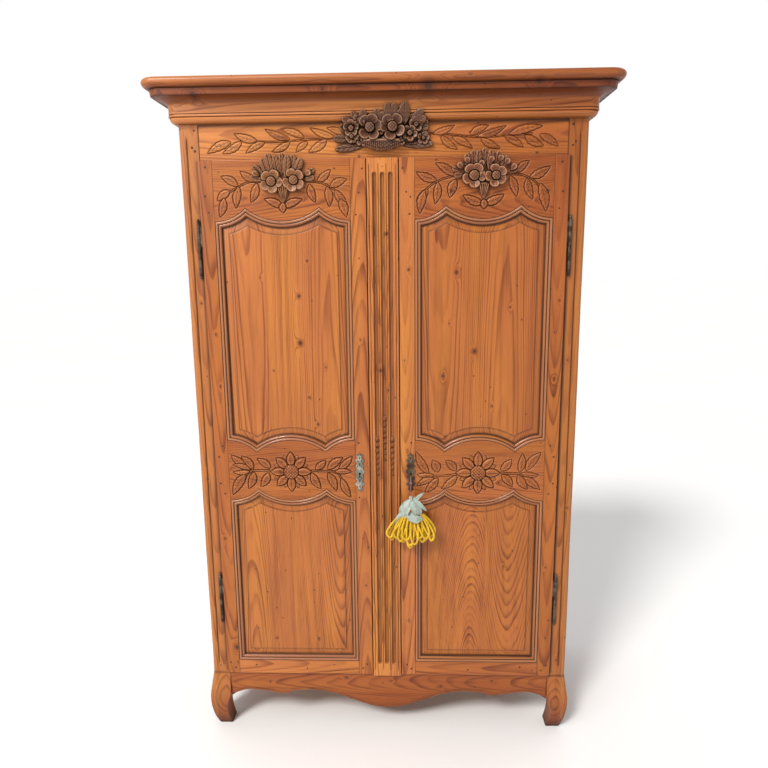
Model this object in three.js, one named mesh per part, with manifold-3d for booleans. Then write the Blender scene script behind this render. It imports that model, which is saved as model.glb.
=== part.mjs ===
// Two-door provincial pine armoire: a pegged carcass of posts, rails and floating panels, a moulded
// cornice, two framed doors hung on barrel hinges either side of a fluted centre post, and a rim lock
// with its key and tassel. Millimetres, +Z up, front towards -Y, origin on the floor at the centre of
// the overall box.
import * as THREE from 'three';
import { mergeVertices } from 'three/addons/utils/BufferGeometryUtils.js';
import Module from 'manifold-3d';

const wasm = await Module();
wasm.setup();

// ---------------------------------------------------------------- driving dimensions

const bodyWidth = 1250;
const bodyDepth = 530;
const overallHeight = 2182;
const corniceHeight = 120;
const corniceProjection = 85;
const corniceInset = 10;
const beadProjection = 27;

const postWidth = 62.5;
const postDepth = 60;
const rearPostDepth = 55;
const postCornerRadius = 12;
const footTop = 205;
const friezeHeight = 111;
const apronTop = 216.5;
const railThickness = 30;
const centrePostWidth = 96;

const doorThickness = 27;
const doorProud = 10;
const doorLip = 5.5;
const lipThickness = 9.5;
const meetingGap = 2.5;
const hingeStileFace = 44;
const lockStileFace = 48.5;
const topRailHeight = 183;
const middleRailHeight = 207;
const middleRailRise = 648;
const bottomRailHeight = 51;
const lobeRise = 41;
const cornerLobeWidth = 97;

const mouldingWidth = 22;
const mouldingDepth = 10;
const panelTongue = 7;
const grooveDepth = 9;
const quirk = 0.1;
const bevelWidth = 22;
const fieldRaise = 5;

const hingeRadius = 6.5;
const hingeLength = 190;
const pinRadius = 3;
const bladeThickness = 2.5;
const bladeDepth = 26;

const boardThickness = 18;
const backBoardThickness = 12;
const sideRailThickness = 27;
const sideInset = 5;
const shelfHeight = 1010;

const lockHeight = 953;
const lockBackset = 34;
const boltTravel = 14;
const boltHeight = 14;
const boltThickness = 6;
const keyReach = 42;

const fit = 0.3;
const tenonThickness = 10;
const tenonLength = 24;

// ---------------------------------------------------------------- derived planes

const halfBody = bodyWidth / 2;
const postInner = halfBody - postWidth;
const front = (corniceProjection - bodyDepth) / 2;
const back = front + bodyDepth;
const postTop = overallHeight - corniceHeight - fit;
const friezeBottom = postTop - friezeHeight;
const doorTop = friezeBottom + doorLip;
const doorBottom = apronTop - doorLip;
const doorFront = front - doorProud;
const doorBack = doorFront + doorThickness;
const doorOuter = postInner + doorLip;
const doorInner = centrePostWidth / 2 + meetingGap;
const hingeX = doorOuter + hingeRadius + 3;
const hingeY = front - hingeRadius - 0.5;
const lockX = doorInner + lockBackset;

// ---------------------------------------------------------------- finishes

const finish = (color, roughness, metalness) => () =>
  new THREE.MeshStandardMaterial({ color, roughness, metalness });
const pine = finish(0xc07a3a, 0.42, 0);
const ochrePine = finish(0xb98a4c, 0.5, 0);
const carvedPine = finish(0x7c4a2c, 0.5, 0);
const darkCarving = finish(0x4a2e1e, 0.55, 0);
const rawPine = finish(0xa78660, 0.75, 0);
const blackIron = finish(0x2b2723, 0.55, 0.8);
const silveredMetal = finish(0x98988a, 0.45, 0.8);
const bronze = finish(0x5c4d36, 0.45, 0.85);
const roseCord = finish(0xb98a86, 0.8, 0);
const goldThread = finish(0xe0a81e, 0.6, 0);

// ---------------------------------------------------------------- solid helpers

/** Turns outline coordinates (a, b) and a height t into the frame in which t runs along an axis. */
const bases = {
  x: new THREE.Matrix4().makeBasis(
    new THREE.Vector3(0, 1, 0), new THREE.Vector3(0, 0, 1), new THREE.Vector3(1, 0, 0)),
  y: new THREE.Matrix4().makeBasis(
    new THREE.Vector3(1, 0, 0), new THREE.Vector3(0, 0, 1), new THREE.Vector3(0, -1, 0)),
  z: new THREE.Matrix4(),
};

function box(x0, x1, y0, y1, z0, z1) {
  const geometry = new THREE.BoxGeometry(x1 - x0, y1 - y0, z1 - z0);
  return geometry.translate((x0 + x1) / 2, (y0 + y1) / 2, (z0 + z1) / 2);
}

const area = (points) =>
  THREE.ShapeUtils.area(points.map(([a, b]) => new THREE.Vector2(a, b)));

const anticlockwise = (points) => (area(points) < 0 ? [...points].reverse() : points);

/**
 * A closed solid through rings of equally many points. Each ring is { points: [[a, b], ...], at }:
 * (y, z) outlines for axis x, (x, z) outlines for axis y and (x, y) outlines for axis z.
 */
function loft(axis, rings) {
  const sign = axis === 'y' ? -1 : 1;
  const ordered = [...rings].sort((one, other) => sign * (one.at - other.at));
  const turned = area(ordered[0].points) < 0;
  const outlines = ordered.map((ring) => (turned ? [...ring.points].reverse() : ring.points));
  const count = outlines[0].length;
  const vertices = outlines.flatMap((points, level) =>
    points.flatMap(([a, b]) => [a, b, sign * ordered[level].at]));
  const index = [];
  for (let level = 0; level < outlines.length - 1; level += 1) {
    for (let i = 0; i < count; i += 1) {
      const j = (i + 1) % count;
      const low = level * count;
      const high = low + count;
      index.push(low + i, low + j, high + j);
      index.push(low + i, high + j, high + i);
    }
  }
  const cap = (level, outward) => {
    const contour = outlines[level].map(([a, b]) => new THREE.Vector2(a, b));
    for (const [p, q, r] of THREE.ShapeUtils.triangulateShape(contour, [])) {
      const corners = outward ? [p, q, r] : [r, q, p];
      index.push(...corners.map((corner) => level * count + corner));
    }
  };
  cap(0, false);
  cap(outlines.length - 1, true);
  const geometry = new THREE.BufferGeometry();
  geometry.setAttribute('position', new THREE.Float32BufferAttribute(vertices, 3));
  geometry.setIndex(index);
  return geometry.applyMatrix4(bases[axis]);
}

const prism = (axis, points, low, high) => loft(axis, [{ points, at: low }, { points, at: high }]);

function lathe(profile, segments) {
  const points = profile.map(([radius, height]) => new THREE.Vector2(radius, height));
  return new THREE.LatheGeometry(points, segments).rotateX(Math.PI / 2);
}

/** The geometry with its repeated corners merged and its empty triangles dropped. */
function welded(geometry) {
  const bare = geometry.clone();
  bare.deleteAttribute('normal');
  bare.deleteAttribute('uv');
  const merged = mergeVertices(bare, 1e-3);
  const kept = [];
  for (let i = 0; i < merged.index.count; i += 3) {
    const [p, q, r] = [0, 1, 2].map((corner) => merged.index.getX(i + corner));
    if (p !== q && q !== r && r !== p) kept.push(p, q, r);
  }
  merged.setIndex(kept);
  return merged;
}

function solidOf(geometry) {
  const closed = welded(geometry);
  return new wasm.Manifold(new wasm.Mesh({
    numProp: 3,
    vertProperties: new Float32Array(closed.attributes.position.array),
    triVerts: new Uint32Array(closed.index.array),
  }));
}

function geometryOf(solid) {
  const mesh = solid.getMesh();
  const geometry = new THREE.BufferGeometry();
  geometry.setAttribute('position', new THREE.BufferAttribute(mesh.vertProperties, 3));
  geometry.setIndex(new THREE.BufferAttribute(mesh.triVerts, 1));
  return geometry;
}

/** The first geometry with others joined to it and then others cut from it. */
function shaped(geometry, { joined = [], cut = [] }) {
  let solid = solidOf(geometry);
  for (const piece of joined) solid = solid.add(solidOf(piece));
  for (const piece of cut) solid = solid.subtract(solidOf(piece));
  return geometryOf(solid);
}

/** The mirror image across x = 0, with its faces still outwards. */
function mirrored(geometry) {
  const image = welded(geometry).scale(-1, 1, 1);
  const corners = image.index.array;
  for (let i = 0; i < corners.length; i += 3) {
    [corners[i], corners[i + 1]] = [corners[i + 1], corners[i]];
  }
  return image;
}

function meshOf(name, geometry, material) {
  const mesh = new THREE.Mesh(welded(geometry), material());
  mesh.name = name;
  return mesh;
}

/** Adds a right-hand piece and its mirror image on the left. */
function addPair(group, name, rightGeometry, material) {
  group.add(meshOf(`${name}_right`, rightGeometry, material));
  group.add(meshOf(`${name}_left`, mirrored(rightGeometry), material));
}

/** Smooth points through a few chosen ones. */
const smooth = (points, divisions) =>
  new THREE.SplineCurve(points.map(([a, b]) => new THREE.Vector2(a, b)))
    .getPoints(divisions)
    .map((point) => [point.x, point.y]);

/** The outline moved outwards by a distance, each corner mitred. */
function offset(points, distance) {
  const outline = anticlockwise(points);
  const normal = ([ax, ay], [bx, by]) => {
    const length = Math.hypot(bx - ax, by - ay);
    return [(by - ay) / length, (ax - bx) / length];
  };
  return outline.map((point, i) => {
    const before = outline[(i + outline.length - 1) % outline.length];
    const after = outline[(i + 1) % outline.length];
    const [n1, n2] = [normal(before, point), normal(point, after)];
    const scale = distance / (1 + n1[0] * n2[0] + n1[1] * n2[1]);
    return [point[0] + (n1[0] + n2[0]) * scale, point[1] + (n1[1] + n2[1]) * scale];
  });
}

// ---------------------------------------------------------------- posts

/** How far the foot of a front post swells out past the post's faces, from the floor up. */
const footSwell = [[0, -7], [38, 5], [80, 12], [118, 13], [160, 7], [footTop, 0]];
/** How far the inner edge of the foot is cut back. */
const footWaist = [[0, 3], [38, 12], [72, 15], [102, 9], [130, 0], [footTop, 0]];

function frontPost() {
  const swell = smooth(footSwell, 14);
  const waist = smooth(footWaist, 14);
  const section = (z, out, cutBack) => {
    const outer = halfBody + out;
    const face = front - out;
    const inner = postInner + cutBack;
    const rear = front + postDepth;
    const corner = smooth([
      [outer, face + postCornerRadius],
      [outer - 0.293 * postCornerRadius, face + 0.293 * postCornerRadius],
      [outer - postCornerRadius, face],
    ], 4);
    return { points: [[inner, rear], [outer, rear], ...corner, [inner, face]], at: z };
  };
  const foot = swell.map(([z, out], i) => section(z, out, Math.max(waist[i][1], 0)));
  const post = loft('z', [...foot, section(postTop, 0, 0)]);
  return shaped(post, {
    cut: [...frontMortises(), ...sideMortises(front + postDepth, -1), ...postBladeSlots()],
  });
}

function rearPost() {
  const post = box(postInner, halfBody, back - rearPostDepth, back, 0, postTop);
  return shaped(post, { cut: [...sideMortises(back - rearPostDepth, 1), ...backMortises()] });
}

// ---------------------------------------------------------------- mortises and tenons

const tenonY = front + (railThickness - tenonThickness) / 2;
const frontTenons = [
  [friezeBottom + 20, postTop - 20],
  [apronTop - 75, apronTop - 15],
];

function frontMortises() {
  return frontTenons.map(([low, high]) => box(
    postInner - 1, postInner + tenonLength + fit,
    tenonY - fit, tenonY + tenonThickness + fit, low - fit, high + fit));
}

const sideOuter = halfBody - sideInset;
const sideInner = sideOuter - sideRailThickness;
const sideTenonX = sideOuter - (sideRailThickness + tenonThickness) / 2;
const sideRails = [
  { name: 'side_top_rail', low: postTop - 100, high: postTop },
  { name: 'side_middle_rail', low: shelfHeight - 85, high: shelfHeight + 15 },
  { name: 'side_bottom_rail', low: apronTop - boardThickness - 95, high: apronTop - boardThickness },
];

/** Side-rail mortises in the face of a post at y, cut in the direction given. */
function sideMortises(y, direction) {
  const deep = y + direction * (tenonLength + fit);
  const open = y - direction;
  return sideRails.map(({ low, high }) => box(
    sideTenonX - fit, sideTenonX + tenonThickness + fit,
    Math.min(deep, open), Math.max(deep, open), low + 15 - fit, high - 15 + fit));
}

const backRails = [
  { name: 'back_top_rail', low: postTop - 90, high: postTop },
  { name: 'back_bottom_rail', low: apronTop - boardThickness - 75, high: apronTop - boardThickness - fit },
];
const backRailFront = back - backBoardThickness - fit - 24;
const backRailBack = back - backBoardThickness - fit;
const backTenonY = (backRailFront + backRailBack - tenonThickness) / 2;

function backMortises() {
  return backRails.map(({ low, high }) => box(
    postInner - 1, postInner + tenonLength + fit,
    backTenonY - fit, backTenonY + tenonThickness + fit, low + 15 - fit, high - 15 + fit));
}

// ---------------------------------------------------------------- front rails

function friezeRail() {
  const end = postInner - fit;
  const [low, high] = frontTenons[0];
  const board = box(-end, end, front, front + railThickness, friezeBottom, postTop);
  return shaped(board, {
    joined: [box(-end - tenonLength, end + tenonLength, tenonY, tenonY + tenonThickness, low, high)],
    cut: [centreTenon(friezeBottom - 1, friezeBottom + tenonLength + fit, fit)],
  });
}

/** Half of the apron's scalloped lower edge, from the post to the middle. */
const apronScallop = [
  [1, 112], [0.955, 128], [0.88, 138], [0.78, 133], [0.68, 124], [0.625, 125],
];
const apronDrop = [
  [0.62, 131], [0.54, 138], [0.44, 137], [0.33, 125], [0.2, 98], [0.09, 78], [0, 72],
];

function apronRail() {
  const end = postInner - fit;
  const half = [...smooth(apronScallop, 8), ...smooth(apronDrop, 10)].map(([u, z]) => [u * end, z]);
  const lower = [...half, ...half.slice(0, -1).reverse().map(([x, z]) => [-x, z])];
  const board = prism('y', [...lower, [-end, apronTop], [end, apronTop]], front, front + railThickness);
  const [low, high] = frontTenons[1];
  return shaped(board, {
    joined: [box(-end - tenonLength, end + tenonLength, tenonY, tenonY + tenonThickness, low, high)],
    cut: [centreTenon(apronTop - tenonLength - fit, apronTop + 1, fit)],
  });
}

// ---------------------------------------------------------------- centre post

const centreFront = front - 12;
const centreBack = front + railThickness;
const fluteRadius = 7;
const fluteSpacing = 24.5;
const fluteMargin = 42;

/** The centre post's tenon between two heights, grown by a clearance. */
function centreTenon(low, high, clearance) {
  return box(-20 - clearance, 20 + clearance,
    tenonY - clearance, tenonY + tenonThickness + clearance, low, high);
}

function centrePost() {
  const half = centrePostWidth / 2;
  const cover = box(-half, half, centreFront, front - fit, doorBottom - 4, doorTop);
  const stem = box(-half, half, front - 1, centreBack, apronTop + fit, friezeBottom - fit);
  const fluteLength = doorTop - doorBottom - 2 * fluteMargin - 2 * fluteRadius;
  const flute = (x) => new THREE.CapsuleGeometry(fluteRadius, fluteLength, 3, 10)
    .rotateX(Math.PI / 2)
    .translate(x, centreFront, (doorTop + doorBottom) / 2);
  const bead = (side) => prism('z', [
    [side * (half - 9), centreFront - 1], [side * (half - 8), centreFront + 2],
    [side * (half - 7), centreFront - 1],
  ], doorBottom - 5, doorTop + 1);
  const boltMortise = (side) => box(
    side < 0 ? -half - 1 : half - boltTravel - 1, side < 0 ? boltTravel + 1 - half : half + 1,
    boltFront - 1, boltBack + 1, lockHeight - boltHeight / 2 - 1.5, lockHeight + boltHeight / 2 + 1.5);
  return shaped(cover, {
    joined: [stem, centreTenon(apronTop - tenonLength, friezeBottom + tenonLength, 0)],
    cut: [
      ...[-1, 0, 1].map((step) => flute(step * fluteSpacing)),
      bead(-1), bead(1), boltMortise(-1), boltMortise(1),
    ],
  });
}

// ---------------------------------------------------------------- sides, back and boards

const sideSpan = [front + postDepth + fit, back - rearPostDepth - fit];
const sidePanelX = sideOuter - 16;

function sideRail({ low, high }, arched) {
  const [start, end] = sideSpan;
  const middle = (start + end) / 2;
  const arch = smooth([[end, low], [middle + 90, low + 22], [middle - 90, low + 22], [start, low]], 8);
  const straight = [[end, low], [start, low]];
  const outline = [[start, high], [end, high], ...(arched ? arch : straight)];
  return shaped(prism('x', outline, sideInner, sideOuter), {
    joined: [box(sideTenonX, sideTenonX + tenonThickness, start - tenonLength, end + tenonLength,
      low + 15, high - 15)],
    cut: sidePanels.map((panel) => sidePanelSlab(panel, grooveDepth + fit, fit)),
  });
}

const sidePanels = [
  { name: 'side_upper_panel', low: sideRails[1].high, high: sideRails[0].low },
  { name: 'side_lower_panel', low: sideRails[2].high, high: sideRails[1].low },
];

/** The tongue of a side panel: its opening grown by an overlap, its thickness by a clearance. */
function sidePanelSlab({ low, high }, overlap, clearance) {
  return box(sidePanelX - clearance, sidePanelX + panelTongue + clearance,
    sideSpan[0], sideSpan[1], low - overlap, high + overlap);
}

function sidePanel(panel) {
  const [start, end] = [sideSpan[0] + fit, sideSpan[1] - fit];
  const opening = [
    [start, panel.low + fit], [end, panel.low + fit], [end, panel.high - fit], [start, panel.high - fit],
  ];
  const face = sidePanelX + panelTongue;
  const field = loft('x', [
    { points: opening, at: face - 1 },
    { points: opening, at: face },
    { points: offset(opening, -bevelWidth - 8), at: face + 3 },
    { points: offset(opening, -bevelWidth - 8), at: face + fieldRaise },
  ]);
  const tongue = box(sidePanelX, face, start, end, panel.low - grooveDepth, panel.high + grooveDepth);
  return shaped(tongue, { joined: [field] });
}

function backRail({ low, high }) {
  const end = postInner - fit;
  return shaped(box(-end, end, backRailFront, backRailBack, low, high), {
    joined: [box(-end - tenonLength, end + tenonLength, backTenonY, backTenonY + tenonThickness,
      low + 15, high - 15)],
  });
}

function backBoards() {
  const end = postInner - fit;
  const joints = [-2, -1, 0, 1, 2].map((step) => prism('z', [
    [step * end / 3 - 3, back + 1], [step * end / 3, back - 3], [step * end / 3 + 3, back + 1],
  ], 0, overallHeight));
  const low = backRails[1].low + 10;
  return shaped(box(-end, end, back - backBoardThickness, back, low, postTop), { cut: joints });
}

/** A board between the sides, notched round the rear posts. */
function interiorBoard(low, high, halfWidth, frontEdge, frontHalfWidth, frontNotch) {
  const rearEdge = backRailFront - fit;
  const notch = back - rearPostDepth - fit;
  const neck = postInner - fit;
  const right = [
    [frontHalfWidth, frontEdge], [frontHalfWidth, frontNotch], [halfWidth, frontNotch],
    [halfWidth, notch], [neck, notch], [neck, rearEdge],
  ];
  const left = [...right].reverse().map(([x, y]) => [-x, y]);
  return prism('z', [...right, ...left], low, high);
}

function floorBoards() {
  const frontEdge = front + railThickness + fit;
  return interiorBoard(apronTop - boardThickness + fit, apronTop, sidePanelX - fit, frontEdge,
    postInner - fit, front + postDepth + fit);
}

const shelfDepthFront = front + postDepth + 6;

function shelf() {
  return interiorBoard(shelfHeight + fit, shelfHeight + boardThickness, sideInner - 2, shelfDepthFront,
    sideInner - 2.5, shelfDepthFront + 1);
}

function shelfCleat() {
  return box(sideInner - 22, sideInner - fit, sideSpan[0] + 8, sideSpan[1] - 8,
    shelfHeight - 28, shelfHeight);
}

function topBoards() {
  const edge = halfBody - corniceInset - fit;
  return box(-edge, edge, front + corniceInset + fit, back, postTop + fit, postTop + fit + 15);
}

// ---------------------------------------------------------------- cornice

/** Half a turn of bullnose from its top round to its underside, as [projection, height]. */
function bullnose(projection, low, high, steps) {
  const radius = (high - low) / 2;
  return Array.from({ length: steps + 1 }, (_, i) => {
    const angle = Math.PI / 2 - (i * Math.PI) / steps;
    return [projection - radius + radius * Math.cos(angle), low + radius + radius * Math.sin(angle)];
  });
}

const corniceBase = postTop + fit;

/** The cornice's section: projection past the body face, and height above its underside. */
const corniceSection = [
  [-corniceInset, 0],
  [6, 0],
  [13, 2],
  [19, 6],
  [23, 11],
  [24, 16],
  [23, 18],
  [beadProjection - 1, 19],
  [beadProjection, 22],
  [beadProjection - 1, 25],
  [24, 26],
  [26, 27.5],
  [26, 52.5],
  [30, 59],
  [40, 66],
  [52, 69.8],
  [65, 71],
  [68, 89],
  [67, 90.5],
  ...bullnose(corniceProjection, 91.5, corniceHeight, 6).reverse(),
  [-corniceInset, corniceHeight],
];

/** How far a point of the section is rounded at the cornice's corners. */
function cornerRadius(projection) {
  const reach = projection + corniceInset;
  return Math.min(reach, 28 + 0.14 * reach);
}

function corniceMoulding() {
  const turn = 6;
  const stations = [{ side: 1, y: back, angle: 0 }];
  for (let i = 0; i <= turn; i += 1) {
    stations.push({ side: 1, angle: (-i * Math.PI) / 2 / turn });
  }
  for (let i = 0; i <= turn; i += 1) {
    stations.push({ side: -1, angle: -Math.PI / 2 - (i * Math.PI) / 2 / turn });
  }
  stations.push({ side: -1, y: back, angle: -Math.PI });
  const vertices = [];
  for (const { side, y, angle } of stations) {
    for (const [projection, height] of corniceSection) {
      const radius = cornerRadius(projection);
      const x = side * (halfBody + projection - radius) + radius * Math.cos(angle);
      const cornerY = front - projection + radius + radius * Math.sin(angle);
      vertices.push(x, y ?? cornerY, corniceBase + height);
    }
  }
  const count = corniceSection.length;
  const index = [];
  for (let station = 0; station < stations.length - 1; station += 1) {
    for (let i = 0; i < count; i += 1) {
      const [here, next] = [station * count, (station + 1) * count];
      const j = (i + 1) % count;
      index.push(here + i, next + j, next + i);
      index.push(here + i, here + j, next + j);
    }
  }
  const contour = corniceSection.map(([a, b]) => new THREE.Vector2(a, b));
  const last = (stations.length - 1) * count;
  for (const [p, q, r] of THREE.ShapeUtils.triangulateShape(contour, [])) {
    index.push(r, q, p);
    index.push(last + p, last + q, last + r);
  }
  const geometry = new THREE.BufferGeometry();
  geometry.setAttribute('position', new THREE.Float32BufferAttribute(vertices, 3));
  geometry.setIndex(index);
  return geometry;
}

// ---------------------------------------------------------------- carvings

function basketCarving() {
  const low = postTop - 77;
  const outline = smooth([
    [-55, low + 2], [0, low], [70, low + 2], [128, low + 12], [156, low + 32], [130, low + 62],
    [112, low + 96], [80, low + 116], [40, low + 124], [2, low + 122], [-44, low + 104],
    [-88, low + 92], [-126, low + 70], [-142, low + 34], [-100, low + 14], [-55, low + 2],
  ], 30).slice(0, -1);
  const block = prism('y', outline, front - 46, front - fit);
  const corniceRelief = box(-halfBody, halfBody, front - beadProjection - 1, front + 1, postTop - 1,
    overallHeight);
  return shaped(block, { cut: [corniceRelief] });
}

/** Outline of a door's flower carving about its centre line, above the top of the door. */
function flowerCarving() {
  const half = [
    [0, 20], [34, 16], [58, 2], [88, -32], [80, -72], [52, -108], [22, -122], [8, -150], [0, -154],
  ];
  const right = smooth(half, 14);
  const left = right.slice(1, -1).reverse().map(([x, z]) => [-x, z]);
  const middle = doorLeafMiddle;
  const outline = [...right, ...left].map(([x, z]) => [middle + x, doorTop + z]);
  return prism('y', outline, -26, -fit);
}

// ---------------------------------------------------------------- door leaf
// A leaf is made in its own frame: x from the hinge axis towards the lock edge, y = 0 on the
// leaf's face and growing inwards, z from the floor.

const leafOuter = hingeX - doorOuter;
const leafInner = hingeX - doorInner;
const leafBodyOuter = leafOuter + doorLip + 3;
const faceLeft = leafOuter + hingeStileFace;
const faceRight = leafInner - lockStileFace;
const doorLeafMiddle = (faceLeft + faceRight) / 2;
const middleRailLow = doorBottom + middleRailRise;
const middleRailHigh = middleRailLow + middleRailHeight;
const topRailLow = doorTop - topRailHeight;
const bottomRailHigh = doorBottom + bottomRailHeight;
const grooveFront = mouldingDepth + 1;
const grooveBack = grooveFront + panelTongue;

/** One lobe from its flat end to its cusp, circular, in a few steps. */
function lobe(flatX, cuspX, flatZ, rise, steps) {
  const width = Math.abs(cuspX - flatX);
  const height = Math.abs(rise);
  const radius = (width * width + height * height) / (2 * height);
  const sweep = Math.asin(width / radius);
  return Array.from({ length: steps + 1 }, (_, i) => {
    const angle = (i * sweep) / steps;
    return [
      flatX + Math.sign(cuspX - flatX) * radius * Math.sin(angle),
      flatZ + Math.sign(rise) * radius * (1 - Math.cos(angle)),
    ];
  });
}

/** A lobed edge from the left corner to the right one, with two cusps and a middle lobe. */
function lobedEdge(z, rise) {
  const cusps = [faceLeft + cornerLobeWidth, faceRight - cornerLobeWidth];
  return [
    ...lobe(faceLeft, cusps[0], z, rise, 3),
    ...lobe(doorLeafMiddle, cusps[0], z, rise, 4).reverse().slice(1),
    ...lobe(doorLeafMiddle, cusps[1], z, rise, 4).slice(1),
    ...lobe(faceRight, cusps[1], z, rise, 3).reverse().slice(1),
  ];
}

/** The outlines of the two panel openings at the leaf's face, outside their mouldings. */
const openings = {
  upper: anticlockwise([
    ...lobedEdge(middleRailHigh, -lobeRise),
    ...lobedEdge(topRailLow, lobeRise).reverse(),
  ]),
  lower: anticlockwise([
    [faceLeft, bottomRailHigh], [faceRight, bottomRailHigh],
    ...lobedEdge(middleRailLow, lobeRise).reverse(),
  ]),
};

/** What the moulding and the panel groove take out of the frame round an opening. */
function openingCuts(opening) {
  const profile = [
    [-1, 0], [1.5, 0], [1.5, -2], [3, -9], [6, -15], [mouldingDepth, -mouldingWidth + 1],
    [mouldingDepth, -mouldingWidth], [doorThickness + 1, -mouldingWidth],
  ];
  const moulding = loft('y', profile.map(([depth, inset]) =>
    ({ points: offset(opening, inset + quirk), at: depth })));
  const groove = prism('y', offset(opening, grooveDepth - mouldingWidth + fit),
    grooveFront - fit, grooveBack + fit);
  return [moulding, groove];
}

function panel(opening) {
  const tongue = offset(opening, grooveDepth - mouldingWidth);
  const field = offset(opening, -mouldingWidth - bevelWidth);
  const border = offset(opening, -mouldingWidth - 1);
  return loft('y', [
    { points: tongue, at: grooveBack },
    { points: tongue, at: grooveFront },
    { points: border, at: grooveFront - 0.01 },
    { points: field, at: grooveFront - 3.5 },
    { points: field, at: grooveFront - fieldRaise },
  ]);
}

/** The mitred strip by which a stile's moulding reaches into an opening. */
function mouldingStrip(opening, side) {
  const inset = offset(opening, -mouldingWidth);
  const inwards = side === 'left' ? 1 : -1;
  const edge = side === 'left' ? faceLeft : faceRight;
  const corners = opening.map((point, i) => i).filter((i) => Math.abs(opening[i][0] - edge) < fit);
  const byHeight = corners.sort((i, j) => opening[i][1] - opening[j][1]);
  const mitre = (corner, gap) => {
    const [[x, z], [tipX, tipZ]] = [opening[corner], inset[corner]];
    const slope = (tipZ - z) / (tipX - x);
    return [[x - inwards, z - inwards * slope + gap], [tipX, tipZ + gap]];
  };
  const low = mitre(byHeight[0], fit);
  const high = mitre(byHeight[1], -fit);
  return prism('y', [...low, ...high.reverse()], 0, doorThickness);
}

const railTenons = [
  [doorBottom + 12, bottomRailHigh - 6],
  [middleRailLow + 45, middleRailHigh - 45],
  [topRailLow + 60, doorTop - 25],
];
const railTenonY = (doorThickness - tenonThickness) / 2 + 2;
const leafTenonLength = 30;

function leafMortises(edge, outwards) {
  return railTenons.map(([low, high]) => {
    const ends = [edge - outwards, edge + outwards * (leafTenonLength + fit)];
    return box(Math.min(...ends), Math.max(...ends),
      railTenonY - fit, railTenonY + tenonThickness + fit, low - fit, high + fit);
  });
}

function hingeStile() {
  const lip = box(leafOuter, faceLeft, 0, lipThickness, doorBottom, doorTop);
  const body = box(leafBodyOuter, faceLeft, lipThickness - 1, doorThickness,
    apronTop + 3, friezeBottom - 3);
  return shaped(lip, {
    joined: [body, mouldingStrip(openings.upper, 'left'), mouldingStrip(openings.lower, 'left')],
    cut: [...leafMortises(faceLeft, -1), ...leafBladeSlots(),
      ...openingCuts(openings.upper), ...openingCuts(openings.lower)],
  });
}

function lockStile() {
  const lip = box(faceRight, leafInner, 0, lipThickness, doorBottom, doorTop);
  const body = box(faceRight, leafInner, lipThickness - 1, doorThickness,
    apronTop + 3, friezeBottom - 3);
  return shaped(lip, {
    joined: [body, mouldingStrip(openings.upper, 'right'), mouldingStrip(openings.lower, 'right')],
    cut: [...leafMortises(faceRight, 1), keyHole(-1, doorThickness + 1),
      ...openingCuts(openings.upper), ...openingCuts(openings.lower)],
  });
}

/** A rail between the stiles, with a tenon at each end. */
function leafRail(outline, [low, high], cut) {
  const board = prism('y', outline, 0, doorThickness);
  return shaped(board, {
    joined: [box(faceLeft - leafTenonLength, faceRight + leafTenonLength,
      railTenonY, railTenonY + tenonThickness, low, high)],
    cut,
  });
}

/** The step along the top or bottom of a leaf that lets its lip lie on the carcass. */
function leafRebate(low, high) {
  return box(leafOuter - 1, leafInner + 1, lipThickness, doorThickness + 1, low, high);
}

/** The sight edge of one lobed side of an opening, left to right, just inside its moulding. */
function sightEdge(opening, z) {
  return offset(opening, -mouldingWidth - 1)
    .filter((point) => Math.abs(point[1] - z) < 3 * lobeRise)
    .sort(([ax], [bx]) => ax - bx);
}

function topRail() {
  const [left, right] = [faceLeft + fit, faceRight - fit];
  const outline = [
    [left, doorTop], [left, topRailLow], ...sightEdge(openings.upper, topRailLow),
    [right, topRailLow], [right, doorTop],
  ];
  const rebate = leafRebate(friezeBottom - 3, doorTop + 1);
  return leafRail(outline, railTenons[2], [...openingCuts(openings.upper), rebate]);
}

function middleRail() {
  const [left, right] = [faceLeft + fit, faceRight - fit];
  const outline = [
    [left, middleRailLow], ...sightEdge(openings.lower, middleRailLow), [right, middleRailLow],
    [right, middleRailHigh], ...sightEdge(openings.upper, middleRailHigh).reverse(),
    [left, middleRailHigh],
  ];
  const cuts = [...openingCuts(openings.upper), ...openingCuts(openings.lower)];
  return leafRail(outline, railTenons[1], [...cuts, keyHole(-1, doorThickness + 1)]);
}

function bottomRail() {
  const [left, right] = [faceLeft + fit, faceRight - fit];
  const tip = bottomRailHigh + mouldingWidth;
  const outline = [
    [left, doorBottom], [right, doorBottom], [right, bottomRailHigh],
    [right - mouldingWidth, tip], [left + mouldingWidth, tip], [left, bottomRailHigh],
  ];
  const rebate = leafRebate(doorBottom - 1, apronTop + 3);
  return leafRail(outline, railTenons[0], [...openingCuts(openings.lower), rebate]);
}

// ---------------------------------------------------------------- hinges

/** The heights of the middles of the two hinges of a leaf. */
const hingeHeights = { lower: doorBottom + 289, upper: doorTop - 268.5 };
const knuckleGap = 1;

/** A turned finial at the end of a knuckle, from its neck to its tip, as [radius, height]. */
const finial = [
  [hingeRadius, 0], [hingeRadius - 2.5, 3], [hingeRadius - 0.5, 7], [hingeRadius - 3, 12], [0, 15],
];
const barrelHalf = hingeLength / 2 - 15;

/** The lower knuckle and its pin, about the hinge axis, with a blade let into the post. */
function hingePostHalf() {
  const knuckle = [
    ...[...finial].reverse().map(([radius, height]) => [radius, -barrelHalf - height]),
    [hingeRadius, -knuckleGap / 2], [pinRadius, -knuckleGap / 2], [pinRadius, barrelHalf - 10],
    [0, barrelHalf - 10],
  ];
  const blade = box(-bladeThickness / 2, bladeThickness / 2, 0, -hingeY + front + bladeDepth,
    -barrelHalf + 8, -10);
  return shaped(lathe(knuckle, 12), { joined: [blade] });
}

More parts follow.
